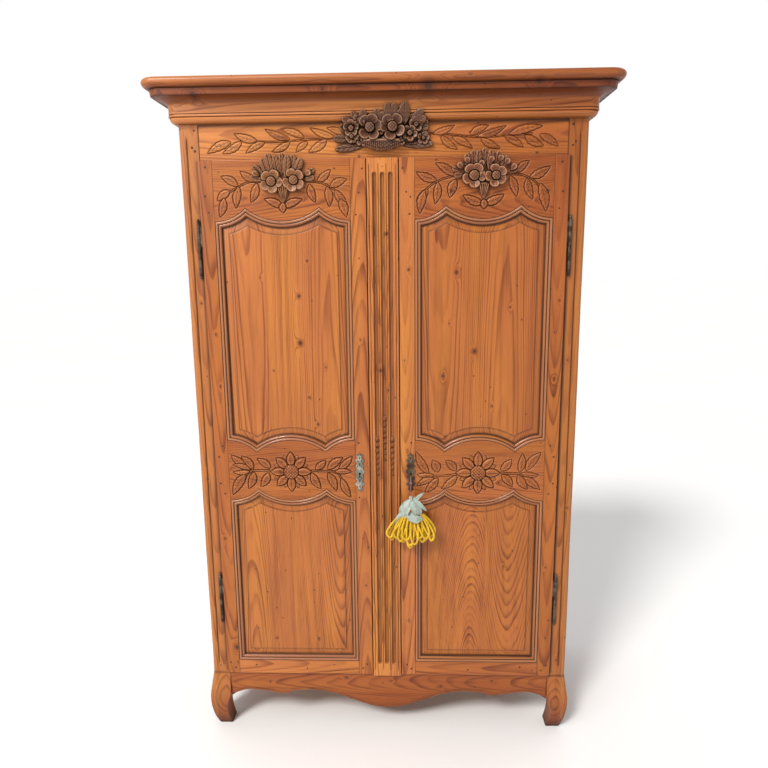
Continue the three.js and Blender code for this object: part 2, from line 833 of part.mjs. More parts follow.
/** The upper knuckle, bored for the pin, with a blade let into the edge of the leaf. */
function hingeDoorHalf() {
  const bore = pinRadius + 0.4;
  const knuckle = [
    [0, barrelHalf - 9.5], [bore, barrelHalf - 9.5], [bore, knuckleGap / 2], [hingeRadius, knuckleGap / 2],
    ...finial.map(([radius, height]) => [radius, barrelHalf + height]),
  ];
  const blade = box(hingeRadius - 2, leafOuter + bladeDepth, -bladeThickness / 2, bladeThickness / 2,
    10, barrelHalf - 8);
  return shaped(lathe(knuckle, 12), { joined: [blade] });
}

function postBladeSlots() {
  return Object.values(hingeHeights).map((height) => box(
    hingeX - bladeThickness / 2 - fit, hingeX + bladeThickness / 2 + fit,
    front - 1, front + bladeDepth + fit, height - barrelHalf + 8 - fit, height - 10 + fit));
}

function leafBladeSlots() {
  const y = hingeY - doorFront;
  return Object.values(hingeHeights).map((height) => box(
    leafOuter - 1, leafOuter + bladeDepth + fit,
    y - bladeThickness / 2 - fit, y + bladeThickness / 2 + fit,
    height + 10 - fit, height + barrelHalf - 8 + fit));
}

// ---------------------------------------------------------------- lock furniture

const caseDepth = 17;
const caseWall = 2;
const boltFront = doorBack + 2.5;
const boltBack = boltFront + boltThickness;
const leafLockX = hingeX - lockX;

/** The keyhole through the leaf, in the leaf's frame. */
function keyHole(low, high) {
  const round = new THREE.CylinderGeometry(5, 5, high - low, 12).translate(0, (high + low) / 2, 0);
  return round.translate(leafLockX, 0, lockHeight);
}

function escutcheon() {
  const half = [
    [0, 65], [9, 60], [6, 52], [13, 40], [11, 22], [15.5, 4],
    [11, -20], [14, -40], [6, -52], [9, -60], [0, -65],
  ];
  const right = smooth(half, 20);
  const left = right.slice(1, -1).reverse().map(([x, z]) => [-x, z]);
  const outline = [...right, ...left].map(([x, z]) => [leafLockX + x, lockHeight + 4 + z]);
  const slot = box(leafLockX - 2, leafLockX + 2, -3, 0, lockHeight - 14, lockHeight);
  return shaped(prism('y', outline, -1.8, -fit), { cut: [keyHole(-3, 1), slot] });
}

/** The rim lock's iron case on the inside of the lock stile, open towards the leaf. */
function lockCase() {
  const [left, right] = [leafLockX - 32, leafInner - 4];
  const [low, high] = [lockHeight - 48, lockHeight + 48];
  const [near, far] = [doorThickness + fit, doorThickness + caseDepth];
  return shaped(box(left, right, near, far, low, high), {
    cut: [
      box(left + caseWall, right - caseWall, near - 1, far - caseWall, low + caseWall, high - caseWall),
      box(right - caseWall - 1, right + 1, boltFront - doorFront - fit, boltBack - doorFront + fit,
        lockHeight - boltHeight / 2 - fit, lockHeight + boltHeight / 2 + fit),
    ],
  });
}

function bolt() {
  return box(leafLockX + 15, leafInner - 1.5, boltFront - doorFront, boltBack - doorFront,
    lockHeight - boltHeight / 2, lockHeight + boltHeight / 2);
}

/** The key about its own axis, bow level: y = 0 on the leaf's face. */
function key() {
  const bow = (reachX, reachY) => Array.from({ length: 16 }, (_, i) => {
    const angle = (i * Math.PI) / 8;
    return [reachX * Math.cos(angle), -keyReach + reachY * Math.sin(angle)];
  });
  const [shankStart, shankEnd] = [8.5 - keyReach, doorThickness + 11.5];
  const shank = new THREE.CylinderGeometry(3, 3, shankEnd - shankStart, 10)
    .translate(0, (shankStart + shankEnd) / 2, 0);
  const collar = new THREE.CylinderGeometry(4.3, 4.3, 4, 10).translate(0, 14 - keyReach, 0);
  return shaped(prism('z', bow(13, 11), -2, 2), {
    joined: [shank, collar, box(2, 11, doorThickness + 4, doorThickness + 12, -1.2, 1.2)],
    cut: [prism('z', bow(8.5, 6.5), -3, 3)],
  });
}

// ---------------------------------------------------------------- tassel

const tasselTop = -62;
const tasselLength = 186;
const bowBar = -keyReach - 8.75;

/** The closed loop of cord's outer shape: round the bow's end bar and down to the tassel's head. */
function tasselCord() {
  const points = [
    [0, tasselTop + fit], [0, -48], [0.6, -30], [1.8, -14], [4.2, -5], [4.6, 1], [2.4, 4.6], [-1.6, 5],
    [-4.6, 2], [-4.9, -4], [-3.4, -13],
  ];
  const path = new THREE.CatmullRomCurve3(points.map(([y, z]) => new THREE.Vector3(0, bowBar + y, z)));
  const section = new THREE.Shape().absarc(0, 0, 1.3, 0, 2 * Math.PI);
  return new THREE.ExtrudeGeometry(section, { steps: 22, extrudePath: path, curveSegments: 4 });
}

/** The tassel: a knotted ribbon head over a skirt of looped fringe, flattened front to back. */
function tassel() {
  const rings = [[0, 8], [-16, 26], [-38, 46], [-62, 62], [-100, 74], [-150, 76], [-tasselLength, 66]];
  return loft('z', rings.map(([height, half]) => ({
    at: tasselTop + height,
    points: Array.from({ length: 16 }, (_, i) => {
      const angle = (i * Math.PI) / 8;
      return [half * Math.cos(angle), bowBar + 6 + Math.min(17, half) * Math.sin(angle)];
    }),
  })));
}

// ---------------------------------------------------------------- assembly

const armoire = new THREE.Group();

addPair(armoire, 'front_post', frontPost(), ochrePine);
addPair(armoire, 'rear_post', rearPost(), ochrePine);
armoire.add(meshOf('frieze_rail', friezeRail(), pine));
armoire.add(meshOf('apron_rail', apronRail(), pine));
armoire.add(meshOf('centre_post', centrePost(), pine));
armoire.add(meshOf('basket_carving', basketCarving(), darkCarving));

for (const rail of sideRails) {
  addPair(armoire, rail.name, sideRail(rail, rail.name === 'side_bottom_rail'), pine);
}
for (const sideway of sidePanels) addPair(armoire, sideway.name, sidePanel(sideway), pine);
for (const rail of backRails) armoire.add(meshOf(rail.name, backRail(rail), rawPine));
armoire.add(meshOf('back_boards', backBoards(), rawPine));
armoire.add(meshOf('floor_boards', floorBoards(), rawPine));
armoire.add(meshOf('shelf', shelf(), rawPine));
addPair(armoire, 'shelf_cleat', shelfCleat(), rawPine);
armoire.add(meshOf('top_boards', topBoards(), rawPine));
armoire.add(meshOf('cornice_moulding', corniceMoulding(), pine));

/** A leaf with everything it carries, its group standing on the hinge axis. */
function doorLeaf(side, plate) {
  const leaf = new THREE.Group();
  leaf.position.set(side === 'left' ? -hingeX : hingeX, doorFront, 0);
  const pieces = [
    ['hinge_stile', hingeStile(), pine],
    ['lock_stile', lockStile(), pine],
    ['top_rail', topRail(), pine],
    ['middle_rail', middleRail(), pine],
    ['bottom_rail', bottomRail(), pine],
    ['upper_panel', panel(openings.upper), pine],
    ['lower_panel', panel(openings.lower), pine],
    ['flower_carving', flowerCarving(), carvedPine],
    ['escutcheon', escutcheon(), plate],
    ['lock_case', lockCase(), blackIron],
    ['bolt', bolt(), blackIron],
  ];
  for (const [name, geometry, material] of pieces) {
    leaf.add(meshOf(`${side}_${name}`, side === 'left' ? geometry : mirrored(geometry), material));
  }
  for (const [place, height] of Object.entries(hingeHeights)) {
    const knuckles = new THREE.Group();
    knuckles.position.set(0, hingeY - doorFront, height);
    const turned = (geometry) => (side === 'left' ? geometry : mirrored(geometry));
    knuckles.add(meshOf(`${side}_${place}_hinge_door_half`, turned(hingeDoorHalf()), blackIron));
    knuckles.add(meshOf(`${side}_${place}_hinge_post_half`, turned(hingePostHalf()), blackIron));
    leaf.add(knuckles);
  }
  return leaf;
}

armoire.add(doorLeaf('left', silveredMetal));
armoire.add(doorLeaf('right', bronze));

const keyGroup = new THREE.Group();
keyGroup.position.set(lockX, doorFront, lockHeight);
keyGroup.add(meshOf('key', key(), bronze));
keyGroup.add(meshOf('tassel_cord', tasselCord(), roseCord));
keyGroup.add(meshOf('tassel', tassel(), goldThread));
armoire.add(keyGroup);

export default armoire;
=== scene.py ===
"""Looks of a two-door provincial pine armoire. Metres, +Z up, front towards -Y, floor at z = 0.

Everything is built in code: carved boards are height fields over grids that follow the board's
outline, mouldings are swept sections, metal pieces are turned or cut outlines. Two point attributes
feed the wood material. "tree" is the point's place in the tree the board was cut from (along the
trunk, across, and away from the pith). "mark" holds the distance to the nearest knot in knot radii,
the grime and painted shade (positive) or the rubbing and painted highlight (negative), and the board's own
darkness times a painted shade gradient.
"""
import math

import bmesh
import bpy
import numpy as np
from mathutils import Matrix, Vector


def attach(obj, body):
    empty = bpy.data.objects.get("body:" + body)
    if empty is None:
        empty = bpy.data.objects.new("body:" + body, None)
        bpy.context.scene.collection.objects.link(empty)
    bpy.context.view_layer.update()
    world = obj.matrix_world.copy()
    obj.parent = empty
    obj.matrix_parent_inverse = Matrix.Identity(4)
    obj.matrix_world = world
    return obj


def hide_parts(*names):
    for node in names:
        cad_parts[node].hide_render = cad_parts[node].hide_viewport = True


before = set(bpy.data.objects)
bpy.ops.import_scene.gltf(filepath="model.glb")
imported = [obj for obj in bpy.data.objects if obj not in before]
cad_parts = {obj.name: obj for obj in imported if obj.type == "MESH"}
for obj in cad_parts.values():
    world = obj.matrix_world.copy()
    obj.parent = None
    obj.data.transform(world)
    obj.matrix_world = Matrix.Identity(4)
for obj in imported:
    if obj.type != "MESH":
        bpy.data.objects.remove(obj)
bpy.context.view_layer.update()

# ------------------------------------------------------------------ sizes, read from the CAD part


def lowest(node, axis):
    """The lowest place of a CAD node along x, y or z, to the micrometre."""
    return round(min(vertex.co["xyz".index(axis)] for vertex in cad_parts[node].data.vertices), 6)


def highest(node, axis):
    """The highest place of a CAD node along x, y or z, to the micrometre."""
    return round(max(vertex.co["xyz".index(axis)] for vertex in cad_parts[node].data.vertices), 6)


CLEARANCE = 0.0003
STILE_CLEARANCE = 0.0001
MOULDING = 0.022
BOW_HALF_THICKNESS = 0.00225
LOBE_RISE = 0.041
CORNER_LOBE = 0.097
HALF_BODY = highest("rear_post_right", "x")
POST_INNER = lowest("front_post_right", "x")
HALF_OPENING = round(POST_INNER - CLEARANCE, 6)
FRONT = lowest("frieze_rail", "y")
BACK = highest("back_boards", "y")
POST_TOP = highest("front_post_right", "z")
FRIEZE_LOW = lowest("frieze_rail", "z")
APRON_TOP = highest("apron_rail", "z")
DOOR_TOP = highest("right_hinge_stile", "z")
DOOR_LOW = lowest("right_hinge_stile", "z")
DOOR_FACE = lowest("right_hinge_stile", "y")
DOOR_BACK = highest("right_hinge_stile", "y")
DOOR_OUTER = highest("right_hinge_stile", "x")
DOOR_INNER = lowest("right_lock_stile", "x")
FACE_OUTER = round(lowest("right_hinge_stile", "x") - STILE_CLEARANCE + MOULDING, 4)
FACE_INNER = round(highest("right_lock_stile", "x") + STILE_CLEARANCE - MOULDING, 4)
DOOR_MIDDLE = (FACE_OUTER + FACE_INNER) / 2
BOTTOM_RAIL_TOP = round(highest("right_bottom_rail", "z") + STILE_CLEARANCE - MOULDING, 4)
MIDDLE_RAIL_LOW = round(lowest("right_middle_rail", "z") + MOULDING, 4)
MIDDLE_RAIL_TOP = round(highest("right_middle_rail", "z") - MOULDING, 4)
TOP_RAIL_LOW = round(lowest("right_top_rail", "z") + MOULDING, 4)
HINGE_LOW_X = lowest("right_lower_hinge_post_half", "x")
HINGE_X = round((HINGE_LOW_X + highest("right_lower_hinge_post_half", "x")) / 2, 6)
HINGE_Y = round(lowest("right_lower_hinge_post_half", "y") + HINGE_X - HINGE_LOW_X, 6)
HINGE_HEIGHTS = {
    place: round((lowest(f"right_{place}_hinge_post_half", "z")
                  + highest(f"right_{place}_hinge_door_half", "z")) / 2, 6)
    for place in ("lower", "upper")}
LOCK_X = round((lowest("key", "x") + highest("key", "x")) / 2, 6)
LOCK_Z = round((lowest("key", "z") + highest("key", "z")) / 2, 6)
BAR_Y = round(lowest("key", "y") + BOW_HALF_THICKNESS, 6)
CORNICE_BASE = lowest("cornice_moulding", "z")

# ------------------------------------------------------------------ camera


def spin(degrees, axis):
    return Matrix.Rotation(math.radians(degrees), 3, axis)


camera_data = bpy.data.cameras.new("camera")
camera_data.lens = 30
camera_data.sensor_width = 36
camera = bpy.data.objects.new("camera", camera_data)
bpy.context.scene.collection.objects.link(camera)
aim = spin(1.94, "Z") @ spin(-10.51, "X") @ spin(0.60, "Y")
turned = Matrix((aim.col[0], aim.col[2], -aim.col[1])).transposed()
camera.matrix_world = Matrix.Translation((0.068, -2.2705, 1.634)) @ turned.to_4x4()
bpy.context.scene.camera = camera

# ------------------------------------------------------------------ mesh helpers


def smoothstep(low, high, value):
    t = np.clip((value - low) / (high - low), 0, 1)
    return t * t * (3 - 2 * t)


def spline(points, count):
    """count points on a smooth curve through the given ones."""
    p = np.asarray(points, float)
    t = np.linspace(0, len(p) - 1, count)
    i = np.minimum(t.astype(int), len(p) - 2)
    w = (t - i)[:, None]
    a, b, c = p[np.maximum(i - 1, 0)], p[i], p[i + 1]
    d = p[np.minimum(i + 2, len(p) - 1)]
    v0, v1 = (c - a) / 2, (d - b) / 2
    return (2 * b - 2 * c + v0 + v1) * w**3 + (3 * c - 3 * b - 2 * v0 - v1) * w**2 + v0 * w + b


def quads(at):
    """Faces over a grid of vertex numbers."""
    corners = [at[:-1, :-1], at[:-1, 1:], at[1:, 1:], at[1:, :-1]]
    return np.stack([c.ravel() for c in corners], -1).tolist()


def band(low, high, closed=True):
    """Faces between two rows of vertex numbers."""
    rows = np.stack([low, high])
    if closed:
        rows = np.concatenate([rows, rows[:, :1]], 1)
    return quads(rows)


def rim(at):
    """The vertex numbers round the border of a grid."""
    return np.concatenate([at[0, :-1], at[:-1, -1], at[-1, :0:-1], at[:0:-1, 0]])


def finish_mesh(piece, body, material, replaces=(), slot=None, tree=None, mark=None, sharp=34):
    mesh = piece.data
    mesh.materials.clear()
    mesh.materials.append(material)
    for name, values in (("tree", tree), ("mark", mark)):
        if values is not None:
            layer = mesh.attributes.new(name, "FLOAT_VECTOR", "POINT")
            layer.data.foreach_set("vector", np.asarray(values, np.float32).ravel())
    mesh.shade_smooth()
    mesh.set_sharp_from_angle(angle=math.radians(sharp))
    if replaces:
        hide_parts(*([replaces] if isinstance(replaces, str) else replaces))
    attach(piece, body)
    return piece


def mesh_piece(name, points, faces, body, material, **extra):
    """A new mesh object that rides on a body, its faces turned outwards."""
    mesh = bpy.data.meshes.new(name)
    mesh.from_pydata(np.asarray(points, float).tolist(), [], faces)
    editable = bmesh.new()
    editable.from_mesh(mesh)
    bmesh.ops.recalc_face_normals(editable, faces=editable.faces)
    editable.to_mesh(mesh)
    editable.free()
    piece = bpy.data.objects.new(name, mesh)
    bpy.context.scene.collection.objects.link(piece)
    return finish_mesh(piece, body, material, **extra)


def joined(parts):
    """One list of points and one of faces from several (points, faces)."""
    points, faces, count = [], [], 0
    for some, theirs in parts:
        points.append(np.asarray(some, float))
        faces += [[i + count for i in face] for face in theirs]
        count += len(some)
    return np.concatenate(points), faces


def lathe(profile, centre, axis="z", steps=28):
    """A turned solid from [radius, height] points that start and end on the axis."""
    profile = np.asarray(profile, float)
    angles = np.linspace(0, 2 * np.pi, steps, endpoint=False)
    inner = profile[1:-1]
    a = inner[:, :1] * np.cos(angles)
    b = inner[:, :1] * np.sin(angles)
    h = np.repeat(inner[:, 1:], steps, 1)
    ends = profile[[0, -1], 1]
    turned = {"z": lambda p, q, r: (p, q, r), "y": lambda p, q, r: (p, r, q)}[axis]
    body = np.stack(turned(a, b, h), -1).reshape(-1, 3)
    zero = np.zeros(2)
    tips = np.stack(turned(zero, zero, ends), -1)
    at = np.arange(len(body)).reshape(len(inner), steps)
    faces = quads(np.concatenate([at, at[:, :1]], 1))
    first, last = len(body), len(body) + 1
    ring = np.append(at[0], at[0, 0])
    faces += [[first, ring[i + 1], ring[i]] for i in range(steps)]
    ring = np.append(at[-1], at[-1, 0])
    faces += [[last, ring[i], ring[i + 1]] for i in range(steps)]
    return np.concatenate([body, tips]) + np.asarray(centre), faces


def rope(path, radius, strands=2, pitch=0.006, sides=12, lobes=0.16, taper=None):
    """A tube of twisted strands along a path, closed at both ends."""
    path = np.asarray(path, float)
    ahead = np.gradient(path, axis=0)
    ahead /= np.linalg.norm(ahead, axis=1)[:, None]
    side = np.cross(ahead[0], [0.13, 0.97, 0.2])
    along = np.concatenate([[0], np.cumsum(np.linalg.norm(np.diff(path, axis=0), axis=1))])
    angles = np.linspace(0, 2 * np.pi, sides, endpoint=False)
    points = []
    for i, (centre, forward) in enumerate(zip(path, ahead)):
        side = side - forward * side.dot(forward)
        side /= np.linalg.norm(side)
        other = np.cross(forward, side)
        turn = angles - 2 * np.pi * along[i] / pitch / strands
        reach = radius * (1 - lobes + lobes * np.abs(np.cos(turn * strands / 2)) ** 0.7)
        if taper is not None:
            reach = reach * taper[i]
        points.append(centre + np.outer(reach * np.cos(angles), side)
                      + np.outer(reach * np.sin(angles), other))
    at = np.arange(len(path) * sides).reshape(len(path), sides)
    faces = quads(np.concatenate([at, at[:, :1]], 1))
    faces += [at[0][::-1].tolist(), at[-1].tolist()]
    return np.concatenate(points), faces


def slab(X, Y, Z, levels):
    """A board from the grid of its front. levels are (y, clamp) from the front to the back."""
    front = np.stack([X, Y, Z], -1).reshape(-1, 3)
    at = np.arange(len(front)).reshape(X.shape)
    faces = quads(at)
    edge = rim(at)
    points, last, count = [front], edge, len(front)
    for y, clamp in levels:
        ring = front[edge].copy()
        ring[:, 1] = y
        if clamp is not None:
            ring = clamp(ring)
        index = np.arange(count, count + len(edge))
        faces += band(last, index)
        points.append(ring)
        last, count = index, count + len(edge)
    faces.append(last.tolist())
    return np.concatenate(points), faces


def between(low, high, step, edge=(0, 0.0004, 0.0013)):
    """Stations from low to high, close together near both ends."""
    inner = np.linspace(low + edge[-1], high - edge[-1], max(2, round((high - low) / step)))
    ends = np.asarray(edge[:-1])
    return np.concatenate([low + ends, inner, high - ends[::-1]])


# ------------------------------------------------------------------ wood attributes


def tree_of(points, along, face, seed, reach=0.1, lean=0.02, splits=(), knots=()):
    """Places in the tree: along the trunk, across it and away from the pith."""
    across = 3 - along - face
    a, c, d = points[:, along], points[:, across], points[:, face]
    board = np.zeros(len(points), int)
    for split in splits:
        board += c > split
    edges = [c.min(), *splits, c.max()]
    tree = np.zeros((len(points), 3))
    for k in range(len(splits) + 1):
        rng = np.random.default_rng(seed * 31 + k)
        middle = (edges[k] + edges[k + 1]) / 2 + rng.uniform(-0.3, 0.3) * (edges[k + 1] - edges[k])
        own = board == k
        tree[own, 0] = a[own] + rng.uniform(-40, 40)
        tree[own, 1] = c[own] - middle
        way = rng.choice([-1, 1])
        tree[own, 2] = (d[own] - d.min()) * 0.8 + reach * rng.uniform(0.8, 1.25)
        tree[own, 2] += way * lean * rng.uniform(0.7, 1.4) * (a[own] - a.mean())
    far = np.full(len(points), 3.0)
    for x, z, size in knots:
        u = points[:, 0] - x
        w = points[:, 2] - z
        if along == 2:
            u, w = w, u
        gap = np.hypot(u / 1.15, w) / size
        far = np.minimum(far, gap)
        tree[:, 2] += 1.6 * size * np.exp(-(np.hypot(u / 2.2, w) / (1.7 * size)) ** 2)
        tree[:, 1] += 0.9 * np.sign(w + 1e-9) * size * np.exp(-(np.hypot(u / 2.6, w) / (2 * size)) ** 2)
    return tree, far


def painted_shade_and_low_darkening(points):
    """Painted shade: darker towards the upper right of the front and a little lighter at the left, as the
    light falls from the left; darker towards the floor as well.
    """
    x, z = points[:, 0], points[:, 2]
    right = smoothstep(-0.45, 0.6, x)
    high = smoothstep(1.70, 2.0, z)
    shade = 1.05 - 0.13 * right - 0.15 * high * smoothstep(-0.1, 0.55, x)
    return shade * (0.46 + 0.54 * smoothstep(-0.02, 0.17, z))


def wood(points, along, face, seed, dirt_and_shade=None, tone_and_shade=1.0, **extra):
    """Both attributes of a wooden piece, as finish_mesh takes them."""
    tree, far = tree_of(points, along, face, seed, **extra)
    mark = np.zeros((len(points), 3))
    mark[:, 0] = far
    if dirt_and_shade is not None:
        mark[: len(dirt_and_shade), 1] = dirt_and_shade
    # the third mark: the board's tone times a painted shade gradient
    mark[:, 2] = tone_and_shade * painted_shade_and_low_darkening(points)
    return {"tree": tree, "mark": mark}


# ------------------------------------------------------------------ materials


class Shader:
    """A material whose nodes are added one call at a time."""

    def __init__(self, name):
        self.material = bpy.data.materials.new(name)
        self.material.use_nodes = True
        self.nodes = self.material.node_tree.nodes
        self.links = self.material.node_tree.links
        self.nodes.clear()

    def add(self, kind, inputs=(), output=0, **settings):
        node = self.nodes.new("ShaderNode" + kind)
        for key, value in settings.items():
            setattr(node, key, value)
        for key, value in dict(inputs).items():
            if isinstance(value, bpy.types.NodeSocket):
                self.links.new(value, node.inputs[key])
            else:
                node.inputs[key].default_value = value
        return node.outputs[output]

    def math(self, operation, a, b=0.0, clamp=False):
        return self.add("Math", {0: a, 1: b}, operation=operation, use_clamp=clamp)

    def mix(self, share, a, b, blend="MIX"):
        a = a if isinstance(a, bpy.types.NodeSocket) else (*a, 1)
        b = b if isinstance(b, bpy.types.NodeSocket) else (*b, 1)
        return self.add("Mix", {0: share, 6: a, 7: b}, 2, data_type="RGBA", blend_type=blend)

    def ramp(self, value, low, high, start=0.0, end=1.0):
        inputs = {"Value": value, "From Min": low, "From Max": high, "To Min": start, "To Max": end}
        return self.add("MapRange", inputs, interpolation_type="SMOOTHSTEP")

    def scaled(self, vector, by):
        return self.add("VectorMath", {0: vector, 1: by}, operation="MULTIPLY")

    def noise(self, vector, scale=1.0, detail=2.0, output=0, roughness=0.5):
        inputs = {"Vector": vector, "Scale": scale, "Detail": detail, "Roughness": roughness}
        return self.add("TexNoise", inputs, output)

    def finish(self, colour, roughness, bump=None, strength=0.4, distance=0.0006, **fixed):
        inputs = {"Base Color": colour, "Roughness": roughness, **fixed}
        if bump is not None:
            inputs["Normal"] = self.add(
                "Bump", {"Strength": strength, "Distance": distance, "Height": bump})
        surface = self.add("BsdfPrincipled", inputs)
        self.add_output(surface)
        return self.material

    def add_output(self, surface):
        node = self.nodes.new("ShaderNodeOutputMaterial")
        self.links.new(surface, node.inputs["Surface"])


def pine(name, early, late, deep, rough=0.40, coat=0.12, rings=300, contrast=1.0, grime_and_shade_strength=1.0, rub_and_highlight=0.55):
    """Pine with growth rings, fibres, flecks, knots, and grime and painted shade in its recesses."""
    s = Shader(name)
    place = s.add("Attribute", output=1, attribute_name="tree")
    mark = s.add("Attribute", output=1, attribute_name="mark")
    parts = s.nodes.new("ShaderNodeSeparateXYZ")
    s.links.new(mark, parts.inputs[0])
    knot, dirt_and_shade, tone_and_shade = parts.outputs
    drift = s.noise(s.scaled(place, (1.1, 8, 8)), 1, 3, output=1)
    drift = s.add("VectorMath", {0: drift, 1: (0.5, 0.5, 0.5)}, operation="SUBTRACT")
    moved = s.add("VectorMath", {0: place, 1: s.scaled(drift, (0, 0.016, 0.016))}, operation="ADD")
    radius = s.add("VectorMath", {0: s.scaled(moved, (0, 1, 1))}, 1, operation="LENGTH")
    phase = s.math("MULTIPLY", radius, rings)
    turn = s.math("FRACT", phase)
    year = s.add("CombineXYZ", {0: s.math("FLOOR", phase), 1: s.math("MULTIPLY", radius, 9.0)})
    strong = s.ramp(s.noise(year, 0.73, 1), 0.32, 0.68, 0.25, 1.0)
    latewood = s.math("MULTIPLY", s.ramp(turn, 0.38, 0.90), s.ramp(turn, 0.93, 1.0, 1.0, 0.0))
    latewood = s.math("MULTIPLY", latewood, strong)
    fibre = s.noise(s.scaled(place, (7, 330, 330)), 1, 2)
    streak = s.noise(s.scaled(place, (1.6, 62, 62)), 1, 3)
    blotch = s.noise(s.scaled(place, (2.3, 7, 7)), 1, 3)
    fleck = s.ramp(s.noise(s.scaled(place, (55, 900, 900)), 1, 1), 0.66, 0.78)
    share = s.math("ADD", s.math("MULTIPLY", latewood, 0.80 * contrast),
                   s.math("MULTIPLY", s.math("SUBTRACT", streak, 0.5), 1.3 * contrast))
    share = s.math("ADD", share, s.math("MULTIPLY", s.math("SUBTRACT", fibre, 0.42), 0.55), clamp=True)
    colour = s.mix(share, early, late)
    colour = s.mix(s.ramp(blotch, 0.3, 0.75, 0.0, 0.45), colour, s.mix(0.55, colour, late))
    colour = s.mix(s.math("MULTIPLY", fleck, 0.38), colour, deep)
    cell = s.add("TexVoronoi", {"Vector": s.scaled(place, (0.7, 1, 1)), "Scale": 24.0, "Randomness": 1.0})
    golden = s.ramp(s.noise(s.scaled(place, (0.9, 14, 14)), 1, 2), 0.40, 0.66)
    colour = s.mix(golden, colour, s.mix(1.0, colour, (1.10, 1.20, 0.92), "MULTIPLY"))
    speck = s.ramp(s.math("ADD", cell, s.math("MULTIPLY", s.math("SUBTRACT", fibre, 0.5), 0.05)),
                   0.030, 0.075, 0.9, 0.0)
    colour = s.mix(speck, colour, deep)
    # the tone mark carries painted shade as well as the board's own tone
    tone_and_shade_tint = s.add("CombineColor", {0: tone_and_shade, 1: s.math("POWER", tone_and_shade, 1.6), 2: s.math("POWER", tone_and_shade, 2.4)})
    colour = s.mix(1.0, colour, tone_and_shade_tint, "MULTIPLY")
    halo = s.ramp(knot, 0.9, 2.3, 0.55, 0.0)
    colour = s.mix(halo, colour, s.mix(0.35, late, deep))
    wobble = s.math("ADD", knot, s.math("MULTIPLY", s.math("SUBTRACT", fibre, 0.5), 0.35))
    core = s.ramp(wobble, 0.55, 1.0, 1.0, 0.0)
    colour = s.mix(s.math("MULTIPLY", core, 0.93), colour, s.mix(0.25, (0.030, 0.013, 0.006), late))
    # painted shade in crevices from ambient occlusion, joined with the dirt and painted shade of the mark
    crevice_grime_and_shade = s.add("AmbientOcclusion", {"Distance": 0.013}, 1, samples=6)
    crevice_grime_and_shade = s.ramp(crevice_grime_and_shade, 0.25, 0.88, 0.92 * grime_and_shade_strength, 0.0)
    grime_and_shade = s.math("MAXIMUM", crevice_grime_and_shade, s.math("MULTIPLY", dirt_and_shade, 1.0))
    patchy_grime_and_shade = s.math("MULTIPLY", grime_and_shade, s.ramp(blotch, 0.25, 0.7, 1.0, 0.72), clamp=True)
    colour = s.mix(patchy_grime_and_shade, colour, deep)
    # lighter where rubbed, and where painted highlights are marked
    rubbed_and_highlit = s.math("MULTIPLY", s.math("MULTIPLY", dirt_and_shade, -1.0), rub_and_highlight, clamp=True)
    colour = s.mix(rubbed_and_highlit, colour, s.mix(0.5, early, (0.60, 0.34, 0.19)))
    gloss = s.math("ADD", rough, s.math("MULTIPLY", s.math("SUBTRACT", streak, 0.5), 0.25))
    gloss = s.math("ADD", gloss, s.math("MULTIPLY", patchy_grime_and_shade, 0.3), clamp=True)
    relief = s.math("ADD", s.math("MULTIPLY", latewood, 0.35), s.math("MULTIPLY", fibre, 0.55))
    relief = s.math("SUBTRACT", relief, s.math("MULTIPLY", fleck, 0.4))
    relief = s.math("SUBTRACT", relief, s.math("MULTIPLY", core, 1.0))
    return s.finish(colour, gloss, relief, 0.4, 0.0005,
                    **{"Coat Weight": coat, "Coat Roughness": 0.25, "Specular IOR Level": 0.32})


def metal(name, base, worn, rough, rust=(0.10, 0.045, 0.02), rust_share=0.35):
    """Old metal: polished where it is handled, dull and spotted elsewhere."""
    s = Shader(name)
    place = s.add("TexCoord", output=3)
    cloud = s.noise(place, 45, 4)
    spot = s.noise(place, 420, 3)
    pit = s.ramp(spot, 0.52, 0.72)
    colour = s.mix(s.ramp(cloud, 0.35, 0.7), base, worn)
    colour = s.mix(s.math("MULTIPLY", pit, rust_share), colour, rust)
    # grime and painted shade in the crevices, from ambient occlusion
    crevice_grime_and_shade = s.add("AmbientOcclusion", {"Distance": 0.006}, 1, samples=6)
    colour = s.mix(s.ramp(crevice_grime_and_shade, 0.25, 0.85, 0.8, 0.0), colour, (0.012, 0.009, 0.007))
    gloss = s.math("ADD", rough, s.math("MULTIPLY", pit, 0.22), clamp=True)
    height = s.math("ADD", s.math("MULTIPLY", cloud, 0.8), s.math("MULTIPLY", spot, 0.4))
    return s.finish(colour, gloss, height, 0.5, 0.0006, Metallic=0.85)


def thread(name, light, dark, scale=900, rough=0.75, sheen=0.4):
    """Dyed thread or cloth with a fine weave, darker in its folds, a painted shade."""
    s = Shader(name)
    place = s.add("TexCoord", output=3)
    fine = s.noise(place, scale, 2)
    cloud = s.noise(place, 60, 3)
    share = s.math("ADD", s.math("MULTIPLY", fine, 0.7), s.math("MULTIPLY", cloud, 0.5))
    colour = s.mix(s.ramp(share, 0.35, 0.85), dark, light)
    # painted shade in the folds, from ambient occlusion
    crevice_grime_and_shade = s.add("AmbientOcclusion", {"Distance": 0.008}, 1, samples=6)
    colour = s.mix(s.ramp(crevice_grime_and_shade, 0.15, 0.8, 0.75, 0.0), colour, dark)
    return s.finish(colour, rough, fine, 0.45, 0.0004,
                    **{"Sheen Weight": sheen, "Sheen Roughness": 0.4})


